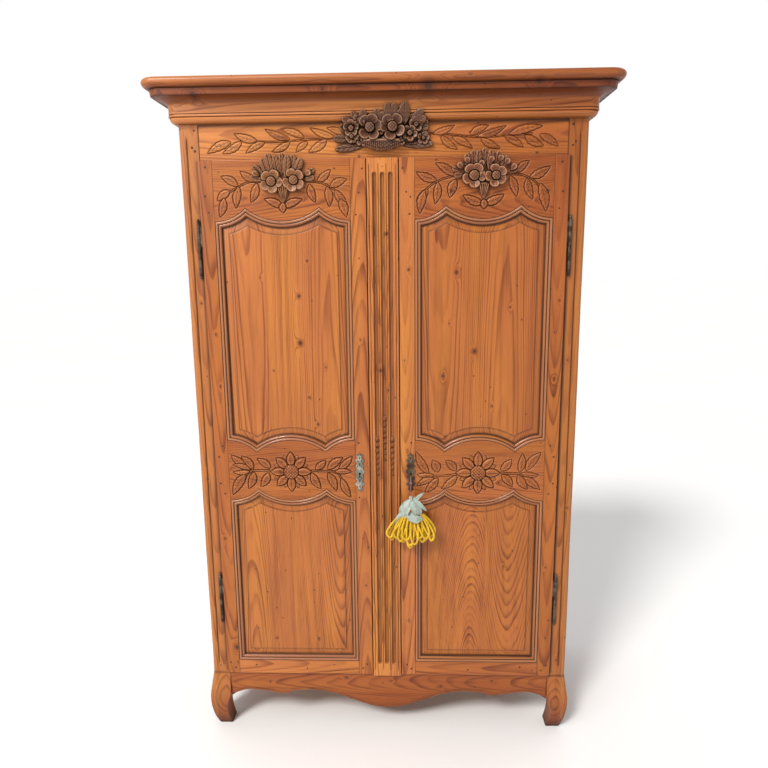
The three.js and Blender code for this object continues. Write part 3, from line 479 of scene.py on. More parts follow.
WAXED = pine("waxed_pine", (0.455, 0.138, 0.030), (0.155, 0.030, 0.005), (0.020, 0.006, 0.003))
OCHRE = pine("ochre_pine", (0.44, 0.145, 0.032), (0.18, 0.042, 0.008), (0.024, 0.008, 0.004), rough=0.48)
MOULDED = pine("moulding_pine", (0.36, 0.115, 0.034), (0.16, 0.036, 0.009), (0.012, 0.004, 0.002),
               rough=0.30, coat=0.5, grime_and_shade_strength=1.2)
CARVED = pine("carved_pine", (0.225, 0.074, 0.025), (0.080, 0.021, 0.006), (0.008, 0.003, 0.002),
              rough=0.46, coat=0.12, contrast=0.6, grime_and_shade_strength=1.25, rub_and_highlight=1.0)
BASKET = pine("dark_carving", (0.115, 0.038, 0.016), (0.040, 0.012, 0.005), (0.005, 0.0025, 0.002),
              rough=0.44, coat=0.12, contrast=0.5, grime_and_shade_strength=1.25, rub_and_highlight=0.8)
RAW = pine("raw_pine", (0.42, 0.205, 0.098), (0.25, 0.110, 0.046), (0.06, 0.03, 0.015),
           rough=0.72, coat=0.0)
PEG = pine("peg_pine", (0.075, 0.028, 0.011), (0.04, 0.014, 0.006), (0.01, 0.004, 0.002), rough=0.5)
IRON = metal("black_iron", (0.045, 0.034, 0.026), (0.17, 0.13, 0.095), 0.46)
SILVER = metal("silvered_metal", (0.20, 0.20, 0.17), (0.50, 0.50, 0.44), 0.40, (0.06, 0.05, 0.035))
BRONZE = metal("aged_bronze", (0.060, 0.045, 0.030), (0.20, 0.155, 0.10), 0.40, (0.02, 0.015, 0.01))
ROSE = thread("rose_cord", (0.42, 0.20, 0.20), (0.15, 0.05, 0.06), 1400)
GOLD = thread("gold_fringe", (0.88, 0.58, 0.008), (0.46, 0.235, 0.004), 1100, sheen=0.2)
RIBBON = thread("pale_ribbon", (0.47, 0.54, 0.50), (0.20, 0.24, 0.17), 1500, 0.5, 0.3)

# ------------------------------------------------------------------ the cord

cord_line = spline([
    [-3.4, -13], [-4.9, -4], [-4.6, 2], [-1.6, 5], [2.4, 4.6], [4.6, 1], [4.2, -5], [1.8, -14],
    [0.6, -30], [0, -48], [0, -61.7],
], 90) / 1000
cord_path = np.stack([np.full(90, LOCK_X), BAR_Y + cord_line[:, 0], LOCK_Z + cord_line[:, 1]], -1)
points, faces = rope(cord_path, 0.0013, 2, 0.0022, 12, 0.22)
cord_piece = mesh_piece("tassel_loop", points, faces, "tassel", ROSE, slot="rose_cord",
                        replaces="tassel_cord", sharp=80)
wrap = [[0.0031 * math.cos(t), 0.0022 * math.sin(t), 0.0012 * t / 6.283 - 0.003]
        for t in np.linspace(0, 4 * 2 * np.pi, 90)]
wrap = np.asarray(wrap) + [LOCK_X, BAR_Y - 0.0004, LOCK_Z - 0.0145]
points, faces = rope(wrap, 0.0008, 2, 0.0015, 8, 0.2)
whipping = mesh_piece("tassel_whipping", points, faces, "tassel", ROSE, slot="rose_cord", sharp=80)

# ------------------------------------------------------------------ carving


class Carving:
    """Height above a surface, and grime and painted shade, over a grid of points (X, Z); negative values are
    rubbing and painted highlight.
    """

    def __init__(self, X, Z):
        self.X, self.Z = X, Z
        self.height = np.zeros(X.shape)
        self.dirt_and_shade = np.zeros(X.shape)

    def blend(self, share, height, dirt_and_shade):
        self.height = self.height * (1 - share) + height * share
        self.dirt_and_shade = self.dirt_and_shade * (1 - share) + dirt_and_shade * share

    def leaf(self, base, tip, width, lift=0.0016, cut=0.0017, bend=0.0, teeth=5):
        """A serrated leaf with a midrib and veins, its outline cut round."""
        base, tip = np.asarray(base, float), np.asarray(tip, float)
        length = np.linalg.norm(tip - base)
        e = (tip - base) / length
        u = (self.X - base[0]) * e[0] + (self.Z - base[1]) * e[1]
        v = (self.Z - base[1]) * e[0] - (self.X - base[0]) * e[1]
        t = np.clip(u / length, 0, 1)
        v = v - bend * length * 4 * t * (1 - t)
        wide = width / 2 * np.sin(np.pi * t**0.85) ** 0.85
        wide = wide * (1 + 0.16 * (np.mod(t * teeth + 0.15, 1) - 0.5) * smoothstep(0.12, 0.3, t))
        over = np.maximum(np.maximum(-u, u - length), 0)
        inside = wide - np.abs(v) - over
        line = np.exp(-((inside / 0.0014) ** 2))
        dome = smoothstep(0, 0.0055, inside)
        rib = np.exp(-((v / 0.0011) ** 2)) * smoothstep(0, 0.08, t) * smoothstep(1.0, 0.86, t)
        slant = np.mod((u - np.abs(v) * 1.1) / (length / 6.5), 1)
        vein = np.exp(-(((slant - 0.5) / 0.13) ** 2)) * smoothstep(0.001, 0.004, inside)
        height = lift * dome - 0.0009 * rib * dome - 0.00045 * vein
        dirt_and_shade = np.clip(0.22 + 0.5 * rib * dome + 0.40 * vein, 0, 1)
        self.blend(smoothstep(-0.0006, 0.0008, inside), height, dirt_and_shade)
        self.height -= cut * line
        # dirt and painted shade in the cut round the leaf
        self.dirt_and_shade = np.maximum(self.dirt_and_shade, 0.92 * line)

    def stem(self, points, width=0.0045, lift=0.001, cut=0.0014):
        """A raised stem between two cut lines."""
        line = spline(points, 60)
        near = np.full(self.X.shape, 9.0)
        for (ax, az), (bx, bz) in zip(line[:-1], line[1:]):
            dx, dz = bx - ax, bz - az
            t = np.clip(((self.X - ax) * dx + (self.Z - az) * dz) / (dx * dx + dz * dz), 0, 1)
            near = np.minimum(near, np.hypot(self.X - ax - t * dx, self.Z - az - t * dz))
        inside = width / 2 - near
        edge = np.exp(-((inside / 0.0012) ** 2))
        self.blend(smoothstep(-0.0006, 0.0006, inside), lift * smoothstep(0, width / 2, inside), 0.15)
        self.height -= cut * edge
        self.dirt_and_shade = np.maximum(self.dirt_and_shade, 0.85 * edge)

    def raise_by(self, height, dirt_and_shade):
        """Keeps the higher of two surfaces."""
        wins = height > self.height
        self.height = np.where(wins, height, self.height)
        self.dirt_and_shade = np.where(wins, dirt_and_shade, self.dirt_and_shade)

    def petal(self, base, tip, width, low, high, cup=0.0, blunt=0.45, rib=0.0008, drop=0.0042):
        """A petal or leaf in high relief: rounded across, its height going from low to high."""
        base, tip = np.asarray(base, float), np.asarray(tip, float)
        length = np.linalg.norm(tip - base)
        e = (tip - base) / length
        u = (self.X - base[0]) * e[0] + (self.Z - base[1]) * e[1]
        v = (self.Z - base[1]) * e[0] - (self.X - base[0]) * e[1]
        t = np.clip(u / length, 0, 1)
        wide = width / 2 * np.maximum(t**0.7 * (1 - t) ** blunt, 0)
        wide = wide / max(1e-9, (0.7 / (0.7 + blunt)) ** 0.7 * (blunt / (0.7 + blunt)) ** blunt)
        over = np.maximum(np.maximum(-u, u - length), 0)
        inside = wide - np.abs(v) - over
        across = np.clip(np.abs(v) / np.maximum(wide, 1e-5), 0, 1)
        dome = np.sqrt(np.clip(1 - across**2, 0, 1)) * smoothstep(0, 0.004, inside)
        height = low + (high - low) * t - (1 - dome) * drop - cup * dome * np.sin(np.pi * t)
        height -= rib * np.exp(-((v / 0.0012) ** 2)) * smoothstep(0.05, 0.2, t)
        slant = np.mod((u - np.abs(v) * 1.3) / (length / 5.5), 1)
        vein = np.exp(-(((slant - 0.5) / 0.16) ** 2)) * (rib > 0) * smoothstep(0.15, 0.3, t)
        height = np.where(inside > 0, height - 0.45 * rib * vein, -1.0)
        # painted shade along the outline and towards the base of the petal, and in its veins
        shade = 0.8 * np.exp(-((inside / 0.0019) ** 2)) + 0.45 * np.exp(-((v / 0.0013) ** 2)) * (rib > 0)
        shade = np.maximum(shade, 0.4 * vein) + 0.3 * smoothstep(0.45, 0.0, t)
        self.raise_by(height, np.minimum(shade + 0.05, 0.97))

    def ball(self, centre, radius, top, bead=0.0):
        """A dome, with rows of beads on it."""
        dx, dz = self.X - centre[0], self.Z - centre[1]
        gap = np.hypot(dx, dz)
        dome = np.sqrt(np.clip(1 - (gap / radius) ** 2, 0, 1))
        height = np.where(gap < radius, top - radius * 0.5 * (1 - dome), -1.0)
        # painted shade round the rim of the dome
        shade = 0.6 * smoothstep(radius * 0.75, radius, gap)
        if bead:
            groove = np.maximum(np.cos((dx + dz) * 2 * np.pi / bead), np.cos((dx - dz) * 2 * np.pi / bead))
            cut = smoothstep(0.6, 1.0, groove) * (gap < radius * 0.95)
            height = height - 0.0013 * cut
            shade = np.maximum(shade, 0.25) + 0.6 * cut
        self.raise_by(height, shade)

    def lobe(self, centre, angle, eye, reach, half, low, high):
        """A hollow petal of a flower, between two angles about it; its rounded rim stands highest."""
        dx, dz = self.X - centre[0], self.Z - centre[1]
        gap = np.hypot(dx, dz)
        turn = np.arctan2(dz, dx) - angle
        w = np.clip(np.arctan2(np.sin(turn), np.cos(turn)) / half, -1, 1)
        edge = eye + (reach - eye) * np.clip(1 - np.abs(w) ** 2.4, 0, 1) ** 0.42
        inside = np.minimum(edge - gap, (1 - np.abs(w)) * half * gap)
        t = np.clip((gap - eye * 0.7) / (reach - eye * 0.7), 0, 1)
        height = low + (high - low) * t**0.75 + 0.0026 * w * w
        height -= 0.0062 * smoothstep(0.0026, 0.0, inside)
        height -= 0.0010 * np.exp(-((w / 0.11) ** 2)) * smoothstep(0.25, 0.6, t)
        # painted shade deep in the hollow and along the outline; painted light on the outer part of each
        # petal, strongest on those that point down
        shade = 0.75 * (1 - t) ** 1.6 + 0.8 * np.exp(-((inside / 0.0011) ** 2))
        painted_light = smoothstep(0.2, -0.7, math.sin(angle)) * 0.5 + 0.5
        shade = shade - 0.8 * painted_light * smoothstep(0.5, 0.9, t) * smoothstep(0.0012, 0.003, inside)
        self.raise_by(np.where((inside > 0) & (gap > eye * 0.6), height, -1.0), shade)

    def blossom(self, centre, eye, angles, radius, low, top):
        """A flower of hollow petals about a beaded eye that sits in a sunken ring, painted dark as shade."""
        half = 1.12 * math.pi / max(5, len(angles))
        for k, degrees in enumerate(angles):
            self.lobe(centre, math.radians(degrees), eye, eye + radius * (1.75 + 0.1 * math.sin(3.1 * k)),
                      half,
                      low, top - 0.0045 + 0.0030 * math.sin(k * 2.5))
        gap = np.hypot(self.X - centre[0], self.Z - centre[1])
        # the sunken ring round the eye is painted dark: painted shade
        ring = (gap < eye * 1.2) & (self.height > low - 0.002)
        self.height = np.where(ring, low - 0.002, self.height)
        self.dirt_and_shade = np.where(ring, 0.98, self.dirt_and_shade)
        self.ball(centre, eye, top - 0.001, bead=0.0100)

    def worn(self):
        """Grime and painted shade gather in hollows, and what stands proud is rubbed lighter."""
        soft = self.height.copy()
        for _ in range(3):
            for axis in (0, 1):
                soft = (np.roll(soft, 1, axis) + soft + np.roll(soft, -1, axis)) / 3
        hollow = (soft - self.height) / 0.0011
        return np.clip(np.maximum(self.dirt_and_shade, hollow) - np.clip(-hollow, 0, 1) * 0.9, -1, 1)


def relief(name, box, step, base, carve, body, material, seed, rear_step=(9.0, 0.0), **extra):
    """A carved piece in high relief: only where it stands above its ground. Above the height in
    rear_step its back lies further out, past a moulding behind it."""
    xs = np.arange(box[0], box[1], step)
    zs = np.arange(box[2], box[3], step)
    X, Z = np.meshgrid(xs, zs)
    carving = Carving(X, Z)
    carving.height[:] = -1.0
    carve(carving)
    ground = np.where(Z > rear_step[0], rear_step[1], 0.0)
    keep = carving.height > ground + 0.0005
    cell = keep[:-1, :-1] & keep[1:, :-1] & keep[:-1, 1:] & keep[1:, 1:]
    carving.height = np.maximum(carving.height, ground)
    dirt_and_shade = carving.worn()
    count = X.size
    at = np.arange(count).reshape(X.shape)
    front = np.stack([X, base - carving.height, Z], -1).reshape(-1, 3)
    rear = front.copy()
    rear[:, 1] = base - ground.ravel()
    flat = np.argwhere(cell)
    faces = []
    for r, c in flat:
        here = [at[r, c], at[r, c + 1], at[r + 1, c + 1], at[r + 1, c]]
        faces.append(here)
        faces.append([i + count for i in here[::-1]])
    padded = np.pad(cell, 1)
    for (dr, dc), (p, q) in {(-1, 0): (0, 1), (0, 1): (1, 2), (1, 0): (2, 3), (0, -1): (3, 0)}.items():
        open_side = cell & ~padded[1 + dr: 1 + dr + cell.shape[0], 1 + dc: 1 + dc + cell.shape[1]]
        for r, c in np.argwhere(open_side):
            here = [at[r, c], at[r, c + 1], at[r + 1, c + 1], at[r + 1, c]]
            faces.append([here[q], here[p], here[p] + count, here[q] + count])
    points = np.concatenate([front, rear])
    used = np.unique(np.asarray(faces))
    number = np.full(len(points), -1)
    number[used] = np.arange(len(used))
    faces = number[np.asarray(faces)].tolist()
    marks = wood(points, 0, 1, seed, np.tile(dirt_and_shade.ravel(), 2))
    marks = {key: value[used] for key, value in marks.items()}
    return mesh_piece(name, points[used], faces, body, material, sharp=60, **marks, **extra)


# ------------------------------------------------------------------ openings of a door

LOBES = [(FACE_INNER, CORNER_LOBE), (DOOR_MIDDLE, DOOR_MIDDLE - FACE_INNER - CORNER_LOBE),
         (FACE_OUTER, CORNER_LOBE)]


def lobe_line(x, inset):
    """How far a lobed edge, inset by some distance, stands above its lowest point."""
    heights = []
    for centre, width in LOBES:
        radius = (width**2 + LOBE_RISE**2) / (2 * LOBE_RISE)
        heights.append(radius - np.sqrt(np.maximum((radius + inset) ** 2 - (x - centre) ** 2, 0)))
    return np.min(heights, axis=0)


def cusp(inset):
    """Where the corner lobe meets the middle one, on the lock side."""
    (c1, w1), (c2, w2) = LOBES[0], LOBES[1]
    r1, r2 = [(w**2 + LOBE_RISE**2) / (2 * LOBE_RISE) for w in (w1, w2)]
    low, high = c1, c2
    for _ in range(40):
        middle = (low + high) / 2
        one = r1 - math.sqrt(max((r1 + inset) ** 2 - (middle - c1) ** 2, 0))
        other = r2 - math.sqrt(max((r2 + inset) ** 2 - (middle - c2) ** 2, 0))
        low, high = (middle, high) if one < other else (low, middle)
    return low


def stations(inset, step):
    """x across an opening, with a station on each cusp."""
    corner = cusp(inset)
    knots = [FACE_INNER + inset, corner, 2 * DOOR_MIDDLE - corner, FACE_OUTER - inset]
    counts = [round(CORNER_LOBE / step), round(0.231 / step), round(CORNER_LOBE / step)]
    runs = [np.linspace(a, b, n + 1)[:-1] for a, b, n in zip(knots, knots[1:], counts)]
    return np.concatenate([*runs, knots[-1:]])


OPENINGS = {
    "upper": (lambda x, d: MIDDLE_RAIL_TOP - lobe_line(x, d), lambda x, d: TOP_RAIL_LOW + lobe_line(x, d)),
    "lower": (lambda x, d: np.full(len(x), BOTTOM_RAIL_TOP + d),
              lambda x, d: MIDDLE_RAIL_LOW + lobe_line(x, d)),
}


def opening_loop(name, inset, step, count):
    low, high = OPENINGS[name]
    x = stations(inset, step)
    z0, z1 = low(x, inset), high(x, inset)
    rise = np.linspace(z0[-1], z1[-1], count)[1:-1]
    fall = np.linspace(z1[0], z0[0], count)[1:-1]
    around = np.concatenate([x, np.full(count - 2, x[-1]), x[::-1][:], np.full(count - 2, x[0])])
    return around, np.concatenate([z0, rise, z1[::-1], fall])


MOULDING_SECTION = [
    (0.1, 0.2), (0.35, 1.9), (1.3, 2.1), (1.6, 0.7), (2.4, -0.35), (3.8, -1.05), (5.4, -1.2), (7.0, -0.75),
    (8.3, 0.3), (9.1, 1.7), (9.5, 3.6), (10.5, 4.0), (11.0, 2.6), (12.2, 1.5), (13.8, 1.1), (15.6, 1.5),
    (17.4, 2.7), (18.9, 4.5), (19.9, 6.8), (20.3, 9.6), (21.2, 10.7), (21.9, 10.8), (13.2, 10.9),
    (13.2, 18.1), (21.9, 18.1), (21.9, 26.8), (0.2, 26.8),
]
PANEL_SECTION = [(13.4, 17.9), (13.4, 11.2), (22.0, 11.2), (26.0, 10.3), (31.0, 9.3), (37.0, 8.4),
                 (43.4, 7.9), (43.9, 6.6), (45.0, 6.1), (48.0, 6.0)]


def moulding_ring(side, name):
    sign = -1 if side == "left" else 1
    loops = []
    for inset, depth in MOULDING_SECTION:
        x, z = opening_loop(name, inset / 1000, 0.004, 90)
        loops.append(np.stack([sign * x, np.full(len(x), DOOR_FACE + depth / 1000), z], -1))
    count = len(loops[0])
    at = np.arange(len(loops) * count).reshape(len(loops), count)
    at = np.concatenate([at, at[:1]])
    faces = quads(np.concatenate([at, at[:, :1]], 1))
    points = np.concatenate(loops)
    flat = np.abs(np.gradient(points[:count, 2])) < np.abs(np.gradient(points[:count, 0]))
    flat = np.tile(flat, len(loops))
    marks = wood(points, 2, 1, 40 + len(name) + sign, reach=0.05)
    lying = wood(points, 0, 1, 50 + len(name) + sign, reach=0.05)
    for key in marks:
        marks[key][flat] = lying[key][flat]
    depths = np.repeat([depth for _, depth in MOULDING_SECTION], count)
    # dirt and painted shade in the deeper steps and the quirk; rubbing and painted highlight on the proud
    # round
    grime_and_shade = np.where(depths > 3.3, 0.5, 0.0) + np.where(depths > 6.5, 0.45, 0.0)
    proud_rub_and_highlight = np.where((depths < 1.3) & (depths > -2), -0.5, 0.0)
    quirk = np.where(np.isin(depths, (1.9, 2.1)), 0.85, 0.0)
    marks["mark"][:, 1] = np.clip(grime_and_shade + proud_rub_and_highlight + quirk, -1, 0.97)
    return mesh_piece(f"{side}_{name}_moulding", points, faces, f"{side}_door", MOULDED,
                      slot="waxed_pine", sharp=38, **marks)


def panel(side, name, seed, knots=(), splits=(), tone_and_shade=1.0, lean=0.03, reach=0.1):
    sign = -1 if side == "left" else 1
    points, loops, count = [], [], 0
    rows = 150 if name == "upper" else 130
    for inset, depth in PANEL_SECTION:
        x, z = opening_loop(name, inset / 1000, 0.0042, rows)
        points.append(np.stack([sign * x, np.full(len(x), DOOR_FACE + depth / 1000), z], -1))
        loops.append(np.arange(count, count + len(x)))
        count += len(x)
    inset = PANEL_SECTION[-1][0] / 1000 + 0.002
    low, high = OPENINGS[name]
    x = stations(inset, 0.0042)
    rise = np.linspace(0, 1, rows)[:, None]
    Z = low(x, inset) + (high(x, inset) - low(x, inset)) * rise
    X = np.tile(sign * x, (rows, 1))
    wave = 0.0004 * np.sin(X * 31 + seed) * np.sin(Z * 9 + seed)
    points.append(np.stack([X, DOOR_FACE + 0.006 + wave, Z], -1).reshape(-1, 3))
    grid = np.arange(count, count + X.size).reshape(X.shape)
    points.append(np.stack([X, DOOR_FACE + 0.0179 - wave, Z], -1).reshape(-1, 3))
    back = grid + X.size
    faces = quads(grid) + [face[::-1] for face in quads(back)]
    loops = [rim(back), *loops, rim(grid)]
    for one, other in zip(loops, loops[1:]):
        faces += band(one, other)
    points = np.concatenate(points)
    marks = wood(points, 2, 1, seed, tone_and_shade=tone_and_shade, knots=knots, splits=splits, lean=lean, reach=reach)
    # dirt and painted shade: dark lines in the recess under the moulding, and the bevel darker under the top
    # of the opening
    lines = np.concatenate([loops[8], loops[7]])
    bevel = np.concatenate(loops[3:8])
    top = high(np.array([DOOR_MIDDLE]), 0)[0]
    marks["mark"][bevel, 1] = 0.04 + 0.42 * smoothstep(top - 0.03, top + 0.005, points[bevel, 2])
    marks["mark"][lines, 1] = 0.6
    marks["mark"][loops[9], 1] = -0.12
    marks["mark"][loops[1], 1] = 0.4
    marks["mark"][np.concatenate(loops[2:4]), 1] = 0.9
    return mesh_piece(f"{side}_{name}_fielded_panel", points, faces, f"{side}_door", WAXED,
                      slot="waxed_pine", replaces=f"{side}_{name}_panel", sharp=24, **marks)


# ------------------------------------------------------------------ boards of a door


def door_clamp(sign):
    """Past the lip, a leaf steps in from its hinge edge, top and bottom."""
    def clamp(ring):
        ring = ring.copy()
        ring[:, 0] = sign * np.minimum(sign * ring[:, 0], 0.5595)
        ring[:, 2] = np.clip(ring[:, 2], APRON_TOP + 0.003, FRIEZE_LOW - 0.003)
        return ring
    return clamp


def eased(gap, radius):
    """How far an eased edge of that radius lies back, at a distance in from it."""
    near = np.clip(radius - gap, 0, radius)
    return radius - np.sqrt(np.maximum(radius**2 - near**2, 0))


def door_board(side, name, X, Z, gaps, carving, seed, along, nodes, tone_and_shade=1.0, knots=(), lean=0.02,
               reach=0.09, pit=None):
    """A stile or rail from its face grid. gaps are (distance to an edge, eased radius, joint)."""
    sign = -1 if side == "left" else 1
    Y = np.full(X.shape, DOOR_FACE)
    dirt_and_shade = np.zeros(X.shape)
    if carving is not None:
        Y = Y - carving.height
        dirt_and_shade = carving.worn()
    for gap, radius, joint in gaps:
        Y = Y + eased(gap, radius)
        near = np.clip(1 - gap / (0.0011 if joint else 0.002), 0, 1)
        dirt_and_shade = np.where(near > 0, dirt_and_shade * (1 - near) + (0.95 if joint else -0.25) * near, dirt_and_shade)
    if pit is not None:
        Y = Y + 0.012 * pit
        dirt_and_shade = np.maximum(dirt_and_shade, pit)
    wave = 0.0003 * np.sin(X * 23 + seed) * np.sin(Z * 14 + 2 * seed)
    clamp = door_clamp(sign)
    levels = [(DOOR_FACE + 0.0095, None), (DOOR_FACE + 0.0095, clamp), (DOOR_BACK, clamp)]
    points, faces = slab(sign * X, Y + wave, Z, levels)
    marks = wood(points, along, 1, seed, dirt_and_shade.ravel(), tone_and_shade, knots=knots, lean=lean, reach=reach)
    return mesh_piece(f"{side}_{name}_board", points, faces, f"{side}_door", WAXED,
                      slot="waxed_pine", replaces=nodes, **marks)


def stile(side, name, low, high, seed, tone_and_shade, knots):
    xs = between(low, high, 0.0032)
    zs = between(DOOR_LOW, DOOR_TOP, 0.0055)
    lock = name == "lock_stile"
    if lock:
        xs = np.unique(np.concatenate([xs, np.arange(LOCK_X - 0.006, LOCK_X + 0.0061, 0.001)]))
        zs = np.unique(np.concatenate([zs, np.arange(LOCK_Z - 0.016, LOCK_Z + 0.008, 0.001)]))
    X, Z = np.meshgrid(xs, zs)
    inner, outer = (high - X, X - low) if lock else (X - low, high - X)
    gaps = [(inner, 0.0005, True), (outer, 0.0022, False),
            (Z - DOOR_LOW, 0.002, False), (DOOR_TOP - Z, 0.002, False)]
    pit = None
    if lock:
        hole = np.hypot(X - LOCK_X, Z - LOCK_Z) - 0.0042
        slot = np.maximum(np.abs(X - LOCK_X) - 0.0019, np.abs(Z - LOCK_Z + 0.007) - 0.007)
        pit = smoothstep(0.0005, -0.0005, np.minimum(hole, slot))
    door_board(side, name, X, Z, gaps, None, seed, 2, f"{side}_{name}", tone_and_shade, knots, pit=pit)


def rail_grid(low, high, step=0.0016, rows=0):
    """A grid between two lobed edges; low and high give z at x."""
    x = stations(0, step)
    edge = 0.0012
    ends = [x[0], x[0] + 0.0004, x[0] + edge]
    x = np.concatenate([ends, x[x > x[0] + edge][:-1], [x[-1] - edge, x[-1] - 0.0004, x[-1]]])
    x = np.unique(np.clip(x, FACE_INNER, FACE_OUTER))
    z0, z1 = low(x), high(x)
    v = between(0, 1, 1 / rows, (0, 0.003, 0.008))[:, None]
    X = np.tile(x, (len(v), 1))
    Z = z0 + (z1 - z0) * v
    return X, Z, z0, z1


SPRAYS = {
    "left": {
        "top": [
            (-445, 1879, -497, 1908, 25), (-389, 1893, -437, 1922, 23), (-471, 1866, -513, 1835, 25),
            (-491, 1844, -507, 1786, 25), (-442, 1876, -454, 1812, 26), (-386, 1887, -407, 1829, 26),
            (-200, 1889, -158, 1924, 23), (-161, 1872, -108, 1895, 25), (-225, 1882, -207, 1827, 25),
            (-170, 1874, -164, 1813, 25), (-146, 1863, -108, 1817, 25), (-131, 1836, -112, 1783, 27)],
        "top_stems": [
            [(-370, 1893), (-408, 1890), (-430, 1883), (-452, 1872), (-474, 1860), (-494, 1844)],
            [(-243, 1891), (-213, 1889), (-182, 1883), (-161, 1872), (-143, 1859), (-128, 1833)]],
        "collar": [(-307, 1813, -366, 1839, 25), (-307, 1813, -247, 1837, 25), (-307, 1828, -308, 1796, 24)],
        "middle": [
            (-441, 968, -479, 1013, 27), (-462, 979, -514, 1017, 25), (-449, 967, -509, 984, 20),
            (-453, 960, -511, 957, 18), (-467, 951, -514, 877, 30), (-438, 958, -460, 899, 27),
            (-382, 972, -427, 1004, 25), (-389, 955, -418, 906, 27), (-232, 968, -197, 999, 24),
            (-191, 967, -140, 1008, 27), (-154, 968, -109, 1013, 24), (-168, 958, -111, 958, 20),
            (-246, 955, -216, 899, 27), (-191, 955, -164, 892, 27), (-146, 936, -116, 869, 25)],
        "middle_stems": [[(-470, 962), (-439, 963), (-389, 964)], [(-244, 962), (-200, 961), (-160, 960)],
                         [(-448, 961), (-462, 950), (-472, 935)], [(-175, 959), (-156, 950), (-146, 934)]],
        "heart": (-314, 959), "petal": 0.070},
    "right": {
        "top": [
            (167, 1887, 105, 1912, 25), (222, 1899, 163, 1938, 25), (140, 1862, 104, 1826, 22),
            (131, 1859, 115, 1789, 26), (170, 1882, 162, 1817, 25), (225, 1890, 207, 1835, 28),
            (409, 1908, 446, 1941, 22), (449, 1892, 510, 1924, 26), (388, 1898, 410, 1836, 25),
            (440, 1890, 459, 1827, 25), (480, 1875, 501, 1791, 30)],
        "top_stems": [
            [(246, 1906), (207, 1897), (179, 1889), (158, 1879), (134, 1861), (109, 1836)],
            [(382, 1903), (419, 1901), (443, 1893), (464, 1881), (483, 1860)]],
        "collar": [(310, 1816, 247, 1843, 26), (310, 1816, 373, 1844, 26), (310, 1830, 311, 1800, 24)],
        "middle": [
            (145, 951, 103, 1028, 27), (175, 958, 158, 999, 30), (162, 946, 106, 949, 20),
            (162, 937, 104, 910, 23), (175, 937, 132, 888, 27), (235, 962, 201, 998, 26),
            (238, 945, 187, 899, 25), (383, 963, 417, 1002, 27), (386, 948, 422, 908, 27),
            (444, 958, 453, 1021, 25), (465, 963, 512, 1025, 29), (449, 953, 508, 947, 20),
            (449, 941, 512, 897, 27), (439, 948, 471, 898, 27)],
        "middle_stems": [[(160, 944), (200, 945), (236, 950)], [(384, 955), (414, 953), (448, 952)]],
        "heart": (307, 955), "petal": 0.074},
}


def spray(c, sign, rows, stems, lift, cut, width=4.5):
    """Leaves along stems, from rows in mm."""
    for stem in stems:
        c.stem([(sign * x / 1000, z / 1000) for x, z in stem], width / 1000, lift * 0.7, cut)
    for k, (bx, bz, tx, tz, wide) in enumerate(rows):
        c.leaf((sign * bx / 1000, bz / 1000), (sign * tx / 1000, tz / 1000), wide / 1000, lift=lift,
               cut=cut, bend=0.05 * (-1) ** k)


def top_rail(side, seed, tone_and_shade):
    X, Z, z0, z1 = rail_grid(lambda x: TOP_RAIL_LOW + lobe_line(x, 0), lambda x: np.full(len(x), DOOR_TOP),
                             rows=108)
    c = Carving(X, Z)
    sign = -1 if side == "left" else 1
    rows = SPRAYS[side]
    spray(c, sign, rows["top"], rows["top_stems"], 0.0024, 0.0030)
    spray(c, sign, rows["collar"], [], 0.0042, 0.0030)
    gaps = [(X - FACE_INNER, 0.0005, True), (FACE_OUTER - X, 0.0005, True),
            (Z - z0, 0.0004, False), (z1 - Z, 0.002, False)]
    knots = [(0.212, 1.8547, 0.005), (0.504, 1.852, 0.005)] if side == "right" else [(-0.299, 1.829, 0.004)]
    door_board(side, "top_rail", X, Z, gaps, c, seed, 0, f"{side}_top_rail", tone_and_shade, knots, lean=0.05)


def sunflower(c, centre, reach, lift):
    centre = np.asarray(centre, float)
    for k in range(8):
        angle = math.pi / 8 + 2 * math.pi * k / 8
        way = np.array([math.cos(angle), math.sin(angle)])
        c.leaf(centre + way * 0.030, centre + way * reach * 0.88, 0.019, lift=0.0010, cut=0.0024, teeth=1)
    for k in range(8):
        angle = 2 * math.pi * k / 8
        way = np.array([math.cos(angle), math.sin(angle)])
        c.leaf(centre + way * 0.016, centre + way * reach, 0.029, lift=lift, cut=0.0034, teeth=1)
    gap = np.hypot(c.X - centre[0], c.Z - centre[1])
    ring = np.exp(-(((gap - 0.0250) / 0.0018) ** 2))
    dome = 0.0070 * np.sqrt(np.clip(1 - (gap / 0.034) ** 2, 0, 1))
    hatch = np.maximum(np.cos((c.X + c.Z) * 2 * np.pi / 0.0105), np.cos((c.X - c.Z) * 2 * np.pi / 0.0105))
    cut = smoothstep(0.5, 0.95, hatch)
    c.blend(smoothstep(0.0258, 0.0244, gap), dome - 0.0016 * cut, 0.2 + 0.75 * cut)
    c.height -= 0.0036 * ring
    c.dirt_and_shade = np.maximum(c.dirt_and_shade, 0.95 * ring)


